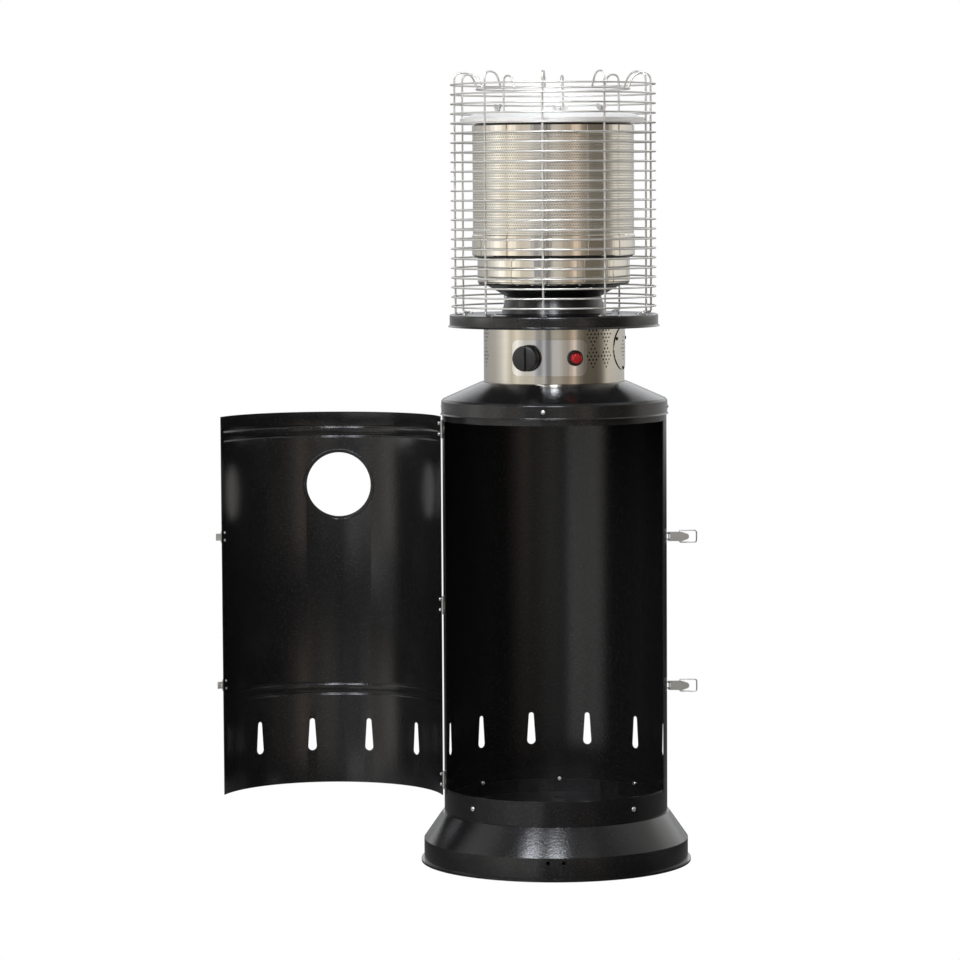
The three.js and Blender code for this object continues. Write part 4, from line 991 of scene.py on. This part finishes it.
def control_band():
    """The steel band with its inner flange, diamond vents and holes."""
    inner = BAND_RADIUS - SHEET
    vents = [vent_cutter(VENT_ROWS, azimuth, VENT_MIDDLE) for azimuth in VENT_AZIMUTHS]
    cover_hole = round_cutter(COVER_HOLE_RADIUS, COVER_AZIMUTH, COVER_HEIGHT, BAND_RADIUS)
    lathe_piece("control_band", [
        (inner, BAND_BOTTOM), (BAND_RADIUS, BAND_BOTTOM), (BAND_RADIUS, BAND_TOP),
        (inner - BAND_FLANGE, BAND_TOP), (inner - BAND_FLANGE, BAND_TOP - SHEET),
        (inner, BAND_TOP - SHEET),
    ], round_off=0, cutters=[*vents, *control_holes(), cover_hole])


def curved_plate(node, outline, azimuth, height, cutters):
    """A plate on the band, cut from a drum by a flat outline."""
    inner = BAND_RADIUS + GAP
    plate = turned(f"{node}_smooth", ring_section(inner, inner + SHEET, BAND_BOTTOM, BAND_TOP))
    place = outward_frame(azimuth, height)
    edge = prism("outline", outline, BAND_RADIUS / 2, BAND_RADIUS * 2, place)
    combined(plate, [edge], "INTERSECT")
    return dressed(combined(plate, cutters), node)


def band_plates():
    """The bright control plate and the round access cover."""
    outline = rounded_outline(PLATE_WIDTH, PLATE_HEIGHT, PLATE_CORNER)
    plate = curved_plate("control_plate", outline, PLATE_AZIMUTH, CONTROL_HEIGHT, control_holes())
    bevelled(plate, PLATE_ROUND, segments=2)
    outline = circle_outline(COVER_RADIUS, RIM_SIDES)
    vents = [vent_cutter(COVER_ROWS, COVER_AZIMUTH, COVER_HEIGHT)]
    curved_plate("access_cover", outline, COVER_AZIMUTH, COVER_HEIGHT, vents)


def flange_plate():
    """The round plate that carries the guard, with its flared rim."""
    rim = FLANGE_RADIUS
    inner = rim - SHEET
    bottom, top = heights("flange_plate")
    middle = FLANGE_ROUND * ROUND_POINT
    lathe_piece("flange_plate", [
        (FLANGE_HOLE, top - SHEET), (FLANGE_HOLE, top), (rim - FLANGE_ROUND, top),
        (rim - middle, top - middle), (rim, top - FLANGE_ROUND), (rim, bottom + FLANGE_LIP),
        (rim + FLANGE_FLARE, bottom), (inner + FLANGE_FLARE, bottom),
        (inner, bottom + FLANGE_LIP), (inner, top - FLANGE_ROUND),
        (rim - FLANGE_ROUND, top - SHEET),
    ], round_off=0.0006)


# Burner


def burner_neck():
    """The waisted foot of the burner."""
    foot, top = heights("burner_neck")
    lathe_piece("burner_neck", [
        (NECK_FOOT + NECK_FLANGE, foot), (NECK_FOOT + NECK_FLANGE, foot + SHEET),
        (NECK_FOOT, foot + SHEET), (NECK_TOP, top), (NECK_TOP - SHEET, top),
        (NECK_FOOT - SHEET, foot),
    ])


def burner_dish():
    """The dish with its ring of air slots."""
    flat = NECK_TOP + SHEET
    bottom, top = heights("burner_dish")
    half = DISH_SLOT_WIDTH / 2
    outline = [
        (-half, -DISH_SLOT_OUTER), (half, -DISH_SLOT_OUTER),
        (half, -DISH_SLOT_INNER), (-half, -DISH_SLOT_INNER),
    ]
    slots = []
    for i in range(DISH_SLOTS):
        place = AXIS @ rotation(360 * (i + 0.5) / DISH_SLOTS, "Z")
        slots.append(prism("slot", outline, bottom - DISH_OVERRUN, top + DISH_OVERRUN, place))
    lathe_piece("burner_dish", [
        (DISH_HOLE, bottom), (flat, bottom), (DISH_KNEE, bottom + DISH_RISE),
        (DISH_EDGE, top - SHEET), (DISH_EDGE, top),
        (DISH_KNEE, bottom + DISH_RISE + SHEET), (flat, bottom + SHEET),
        (DISH_HOLE, bottom + SHEET),
    ], round_off=0.0004, cutters=[one_object("slots", slots)])


def burner_bowl():
    """The bowl. The extra ring over its rolled foot keeps the wall's shading upright."""
    bottom, top = heights("burner_bowl")
    wall = BOWL_RADIUS
    inner = wall - SHEET
    middle = BOWL_ROUND * ROUND_POINT
    lathe_piece("burner_bowl", [
        (wall - BOWL_FLANGE, bottom), (wall - BOWL_ROUND, bottom),
        (wall - middle, bottom + middle), (wall, bottom + BOWL_ROUND),
        (wall, bottom + BOWL_ROUND + SHEET), (wall, top), (inner, top),
        (inner, bottom + BOWL_ROUND), (inner - BOWL_ROUND, bottom + SHEET),
        (wall - BOWL_FLANGE, bottom + SHEET),
    ], round_off=0.0005)


def emitter():
    """The perforated screen with its plain foot and head bands."""
    bottom, top = heights("emitter")
    foot = EMITTER_RADIUS + FOOT_PROUD
    head = EMITTER_RADIUS + HEAD_PROUD
    inner = EMITTER_RADIUS - SHEET
    foot_end = bottom + EMITTER_FOOT + FOOT_PROUD
    head_end = top - EMITTER_HEAD - HEAD_PROUD
    screen = turned("emitter_smooth", [
        (EMITTER_HOLE, bottom), (foot - FOOT_PROUD, bottom),
        (foot, bottom + FOOT_PROUD), (foot, bottom + EMITTER_FOOT),
        (EMITTER_RADIUS, foot_end), (EMITTER_RADIUS, head_end), (head, top - EMITTER_HEAD),
        (head, top), (EMITTER_HOLE, top), (EMITTER_HOLE, top - SHEET),
        (inner, top - SHEET), (inner, bottom + SHEET), (EMITTER_HOLE, bottom + SHEET),
    ])
    second_material(dressed(screen, "emitter", 30), SCREEN_BAND, foot_end, head_end)


def emitter_seal():
    """A dark ring between the bowl and the emitter: painted shade for the shadowed underside of the
    emitter's foot.
    """
    top = heights("emitter")[0]
    shade_ring = turned("emitter_seal", [
        (BOWL_RADIUS, top - SHADE_RING_HEIGHT),
        (BOWL_RADIUS + SHADE_RING_PROUD, top - SHADE_RING_HEIGHT * (1 - SHADE_RING_CHAMFER)),
        (BOWL_RADIUS + SHADE_RING_PROUD, top - SHADE_RING_HEIGHT * SHADE_RING_CHAMFER), (BOWL_RADIUS, top),
    ])
    added(smooth(shade_ring, 50), "burner_dark")


def burner_cap():
    """The cap with the three studs that carry the reflector."""
    bottom, stud_top = heights("burner_cap")
    top = bottom + CAP_HEIGHT
    inner = CAP_RADIUS - SHEET
    seat = heights("reflector")[1] - SHEET - GAP
    cap = turned("burner_cap_smooth", [
        (0, top - SHEET), (inner, top - SHEET), (inner, bottom),
        (CAP_RADIUS + CAP_FLANGE, bottom), (CAP_RADIUS + CAP_FLANGE, bottom + SHEET),
        (CAP_RADIUS, bottom + SHEET), (CAP_RADIUS, top), (0, top),
    ])
    stud = [
        (0, top - SHEET / 2), (STUD_COLLAR, top - SHEET / 2), (STUD_COLLAR, seat),
        (STUD_RADIUS, seat), (STUD_RADIUS, stud_top), (0, stud_top),
    ]
    studs = [
        turned("stud", stud, Matrix.Translation(polar(STUD_CIRCLE, azimuth, 0)), SMALL_SIDES)
        for azimuth in STUD_AZIMUTHS
    ]
    cap = one_object("burner_cap_smooth", [cap, *studs])
    second_material(dressed(cap, "burner_cap"), FINISHES["fixings"], 0, top + GAP)


def reflector():
    """The shallow lid over the burner."""
    bottom, top = heights("reflector")
    shoulder = bottom + REFLECTOR_RIM
    lathe_piece("reflector", [
        (0, top - SHEET), (REFLECTOR_FLAT, top - SHEET), (REFLECTOR_RADIUS - SHEET, shoulder),
        (REFLECTOR_RADIUS - SHEET, bottom), (REFLECTOR_RADIUS, bottom),
        (REFLECTOR_RADIUS, shoulder), (REFLECTOR_FLAT, top), (0, top),
    ], round_off=0.0006)


# Wires


def guard():
    """Round wires: level rings outside arched uprights, and a small ring on top."""
    first = FLANGE_TOP + FIRST_RING
    last = first + (RINGS - 1) * RING_PITCH
    ring_radius = POST_RADIUS + POST_WIRE + RING_WIRE - RING_BITE
    small_height = last - TOP_RING_DROP

    def ring(radius, height):
        return [polar(radius, 360 * step / SIDES, height) for step in range(SIDES)]

    rings = [ring(ring_radius, first + i * RING_PITCH) for i in range(RINGS)]
    ring_wires = wire_piece("guard_rings", rings, RING_WIRE, cyclic=True)
    small_ring = [ring(TOP_RING_RADIUS, small_height)]
    top_wire = wire_piece("guard_top_ring_smooth", small_ring, RING_WIRE, cyclic=True)
    foot = FLANGE_TOP + GAP + POST_WIRE
    arch_bend = ARCH_RUN * ARCH_BEND
    path = bent_path([
        (POST_RADIUS - FOOT_LENGTH, foot), (POST_RADIUS, foot), (POST_RADIUS, last + ARCH_RISE),
        (POST_RADIUS - 2 * ARCH_RUN, last + ARCH_RISE), (TOP_RING_RADIUS, small_height),
    ], (FOOT_BEND, arch_bend, arch_bend), POST_BEND_STEPS)
    posts = [[polar(radius, turn, height) for radius, height in path] for turn in POST_AZIMUTHS]
    post_wires = wire_piece("guard_posts", posts, POST_WIRE)
    for piece in (ring_wires, post_wires, top_wire):
        added(piece, "guard_wire")
    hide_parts("guard")
    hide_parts("guard_top_ring")


def bails():
    """The round wire loops of the two latches."""
    for place in ("upper", "lower"):
        node = f"latch_{place}_bail"
        low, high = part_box(node)
        radius = (high.y - low.y) / 2
        y, middle = (low.y + high.y) / 2, (low.z + high.z) / 2
        half = (high.z - low.z) / 2 - radius
        start, end = low.x + radius, high.x - radius
        corners = [
            (start, -half + BAIL_HOOK), (start, -half), (end, -half),
            (end, half), (start, half), (start, half - BAIL_HOOK),
        ]
        reaches = (BAIL_HOOK_BEND, BAIL_BEND, BAIL_BEND, BAIL_HOOK_BEND)
        route = bent_path([(x, y, middle + rise) for x, rise in corners], reaches, BAIL_BEND_STEPS)
        wire = wire_piece(f"{node}_smooth", [route], radius)
        replacing(finished(wire, SLOT_OF[node]), node)


# Controls and fixings


def control(node, profile, azimuth, sides=RIM_SIDES):
    """A turned control on the control plate's face."""
    rings = [(radius, PLATE_FACE + height) for radius, height in profile]
    return turned(f"{node}_smooth", rings, outward_frame(azimuth, CONTROL_HEIGHT), sides)


def seated(piece):
    """The piece without what would lie inside the control plate."""
    return combined(piece, [turned("drum", ring_section(0, PLATE_FACE, BAND_BOTTOM, BAND_TOP))])


def controls():
    """Knob, bezel, igniter nut and button."""
    bezel = seated(control("knob_bezel", BEZEL_PROFILE, KNOB_AZIMUTH))
    dressed(bevelled(bezel, width=0.0004, segments=2), "knob_bezel", 30)
    dressed(seated(control("igniter_nut", NUT_PROFILE, IGNITER_AZIMUTH)), "igniter_nut", 30)
    knob = control("knob", KNOB_PROFILE, KNOB_AZIMUTH)
    face = outward_frame(KNOB_AZIMUTH, CONTROL_HEIGHT, PLATE_FACE + KNOB_FACE)
    along = face @ rotation(90, "X")
    grip = prism("grip", GRIP_SECTION, -GRIP_HALF_LENGTH, GRIP_HALF_LENGTH, along)
    baked(bevelled(grip, width=0.001, segments=4))
    dressed(one_object("knob_smooth", [knob, grip]), "knob", 35)
    button = control("igniter_button", BUTTON_PROFILE, IGNITER_AZIMUTH, FINE_SIDES)
    dressed(button, "igniter_button", 50)


def screw(name, place, radius, body="heater", slot_name="fixings"):
    """A pan-head screw with a cross recess, facing along its place's Z."""
    height = radius * HEAD_HEIGHT
    head = [(radius * across, height * up) for across, up in HEAD_PROFILE]
    reach, width = radius * RECESS_REACH, radius * RECESS_WIDTH
    arms = []
    for x, y in ((reach, width), (width, reach)):
        outline = [(-x, -y), (x, -y), (x, y), (-x, y)]
        arms.append(prism("arm", outline, height * RECESS_FLOOR, height * RECESS_TOP, place))
    piece = combined(turned(name, head, place, SMALL_SIDES), arms)
    added(smooth(piece, 50), slot_name, body)


# Screws round a wall: name, azimuths, height, radius of the wall and of the head, way they face
SCREW_ROWS = (
    ("collar_screw", (-45, 45), 0.107, BODY_RADIUS, 0.0042, outward_frame),
    ("inner_screw", (135, 180, 225), 0.1095, BODY_RADIUS - 3 * SHEET - GAP, 0.0035, inward_frame),
    ("rim_screw", (-3.5, 86.5, 176.5, 266.5), 0.775, BODY_RADIUS + RIM_GAP + SHEET, 0.0038,
     outward_frame),
)
# Rivets above and below the middle of a CAD node: name, node, step, azimuth, radius of the wall
# and of the head, body
RIVET_PAIRS = (
    ("hinge_{}_body_rivet", "hinge_{}_pin", 0.009, -81.5, BODY_RADIUS - SHEET, 0.0028, "heater"),
    ("hinge_{}_door_rivet", "hinge_{}_pin", 0.009, -73.2, DOOR_RADIUS, 0.0029, "door"),
    ("strike_{}_rivet", "strike_{}", 0.0065, 74, DOOR_RADIUS, 0.0024, "door"),
)


def screws():
    """Screws and rivets."""
    for name, azimuths, height, wall, radius, frame_at in SCREW_ROWS:
        for i, azimuth in enumerate(azimuths, 1):
            screw(f"{name}_{i}", frame_at(azimuth, height, wall), radius)
    for i, (side, rise) in enumerate(arc((0, 0), COVER_SCREW_CIRCLE, -90, 150, steps=2), 1):
        azimuth = COVER_AZIMUTH + math.degrees(side / BAND_RADIUS)
        place = outward_frame(azimuth, COVER_HEIGHT + rise, BAND_RADIUS + GAP + SHEET)
        screw(f"cover_screw_{i}", place, COVER_SCREW_RADIUS, slot_name="latch_dark")
    for i, azimuth in enumerate(POST_AZIMUTHS, 1):
        spot = polar(POST_RADIUS - FOOT_LENGTH - FOOT_SCREW_INSET, azimuth, FLANGE_TOP)
        screw(f"foot_screw_{i}", Matrix.Translation(spot), FOOT_SCREW_RADIUS)
    for name, node, step, azimuth, wall, radius, body in RIVET_PAIRS:
        for place in ("lower", "middle", "upper"):
            if node.format(place) not in SLOT_OF:
                continue
            for side in (-1, 1):
                height = sum(heights(node.format(place))) / 2 + side * step
                spot = inward_frame(azimuth, height, wall)
                spot = door_swing() @ spot if body == "door" else spot
                screw(f"{name.format(place)}_{side + 2}", spot, radius, body)


def cad_pieces():
    """Finishes for the CAD nodes in view, with softened edges."""
    for name, node in frame["nodes"].items():
        if node.hide_render:
            continue
        smooth(finished(node, SLOT_OF[name]), 35)
        if SLOT_OF[name] in ("latch_bright", "latch_dark", "hinge_zinc", "fixings"):
            bevelled(node, width=0.0003, segments=2, angle=30)


# Studio


def floor():
    """A pale floor that the camera sees as plain white, but black under the base pan: painted
    shade, seen through the pan's holes.
    """
    corners = [(x * FLOOR_HALF, y * FLOOR_HALF, 0) for x, y in ((-1, -1), (1, -1), (1, 1), (-1, 1))]
    piece = mesh_object("floor", corners, [[0, 1, 2, 3]])
    piece.location = (AXIS_X, AXIS_Y, rest_low.z - GAP)
    made = Finish("floor", gray(0.5), 0.9)
    glow = made.node("Emission")
    reach = made.step("VectorMath", "LENGTH", made.coordinates)["Value"]
    # Painted shade: within the base pan's skirt the camera sees black instead of white
    outside = made.math("GREATER_THAN", reach, SKIRT_RADIUS - SHEET)
    made.link(outside, glow.inputs["Strength"])
    surface = made.tree.nodes["Material Output"].inputs["Surface"]
    made.camera_sees(glow.outputs["Emission"], made.shader.outputs["BSDF"], surface)
    piece.data.materials.append(made.material)
    piece.visible_glossy = False


def world():
    """White to the camera, and the studio's layers to other rays, the lamps to glossy ones only."""
    made = bpy.data.worlds.new("studio")
    bpy.context.scene.world = made
    made.use_nodes = True
    made.node_tree.nodes.clear()
    studio = Nodes(made.node_tree)
    white = studio.node("Background", Color=(1, 1, 1, 1))
    room = studio.node("Background")
    rays = studio.node("LightPath").outputs
    x, y, z = studio.parts(studio.node("TexCoord").outputs["Generated"])
    azimuth = studio.math("ARCTAN2", x, studio.math("MULTIPLY", y, -1))
    total = None
    for layer in STUDIO:
        color = studio.ramp(azimuth, -math.pi, math.pi, layer[0])
        light = studio.vector("MULTIPLY", color, studio.ramp(z, -1, 1, layer[1]))
        if layer is LAMPS:
            light = studio.vector("MULTIPLY", light, rays["Is Glossy Ray"])
        total = studio.vector("ADD", total, light) if total else light
    studio.link(total, room.inputs["Color"])
    surface = studio.node("OutputWorld").inputs["Surface"]
    studio.camera_sees(white.outputs["Background"], room.outputs["Background"], surface)


def looking(name, data, spot, aim):
    """A lamp or camera at a spot that looks at its aim."""
    piece = new_object(name, data)
    piece.location = spot
    piece.rotation_mode = "QUATERNION"
    piece.rotation_quaternion = (aim - spot).to_track_quat("-Z", "Y")
    return piece


def soft_light(name, azimuth, height, distance, width, length, power, aim_height=0.7):
    """A rectangular lamp that isn't mirrored in the heater."""
    lamp = bpy.data.lights.new(name, "AREA")
    lamp.shape = "RECTANGLE"
    lamp.size = width
    lamp.size_y = length
    lamp.energy = power
    piece = looking(name, lamp, polar(distance, azimuth, height), polar(0, 0, aim_height))
    piece.visible_glossy = False


def camera():
    """The photo's camera."""
    lens = bpy.data.cameras.new("camera")
    lens.sensor_width = SENSOR_MM
    lens.lens = SENSOR_MM * FOCAL_PIXELS / PIXELS
    lens.clip_end = CLIP_END
    turn = math.radians(CAMERA_AZIMUTH)
    side = Vector((math.cos(turn), math.sin(turn), 0))
    spot = polar(CAMERA_DISTANCE, CAMERA_AZIMUTH, CAMERA_HEIGHT)
    piece = looking("camera", lens, spot, polar(0, 0, AIM_HEIGHT) + side * AIM_SIDE)
    roll = rotation(CAMERA_ROLL, "Z").to_quaternion()
    piece.rotation_quaternion = piece.rotation_quaternion @ roll
    bpy.context.scene.camera = piece


base_pan()
body_shell()
door_panel()
door_port_rings()
shoulder_cover()
control_band()
band_plates()
flange_plate()
burner_neck()
burner_dish()
burner_bowl()
emitter()
emitter_seal()
burner_cap()
reflector()
guard()
bails()
controls()
screws()
cad_pieces()

floor()
world()
soft_light("key", azimuth=-35, height=1.9, distance=3.2, width=0.9, length=2.2, power=55)
soft_light("top", azimuth=5, height=3.4, distance=1.9, width=1.4, length=0.5, power=45,
           aim_height=1.0)
camera()
bpy.context.scene.view_settings.view_transform = "Standard"
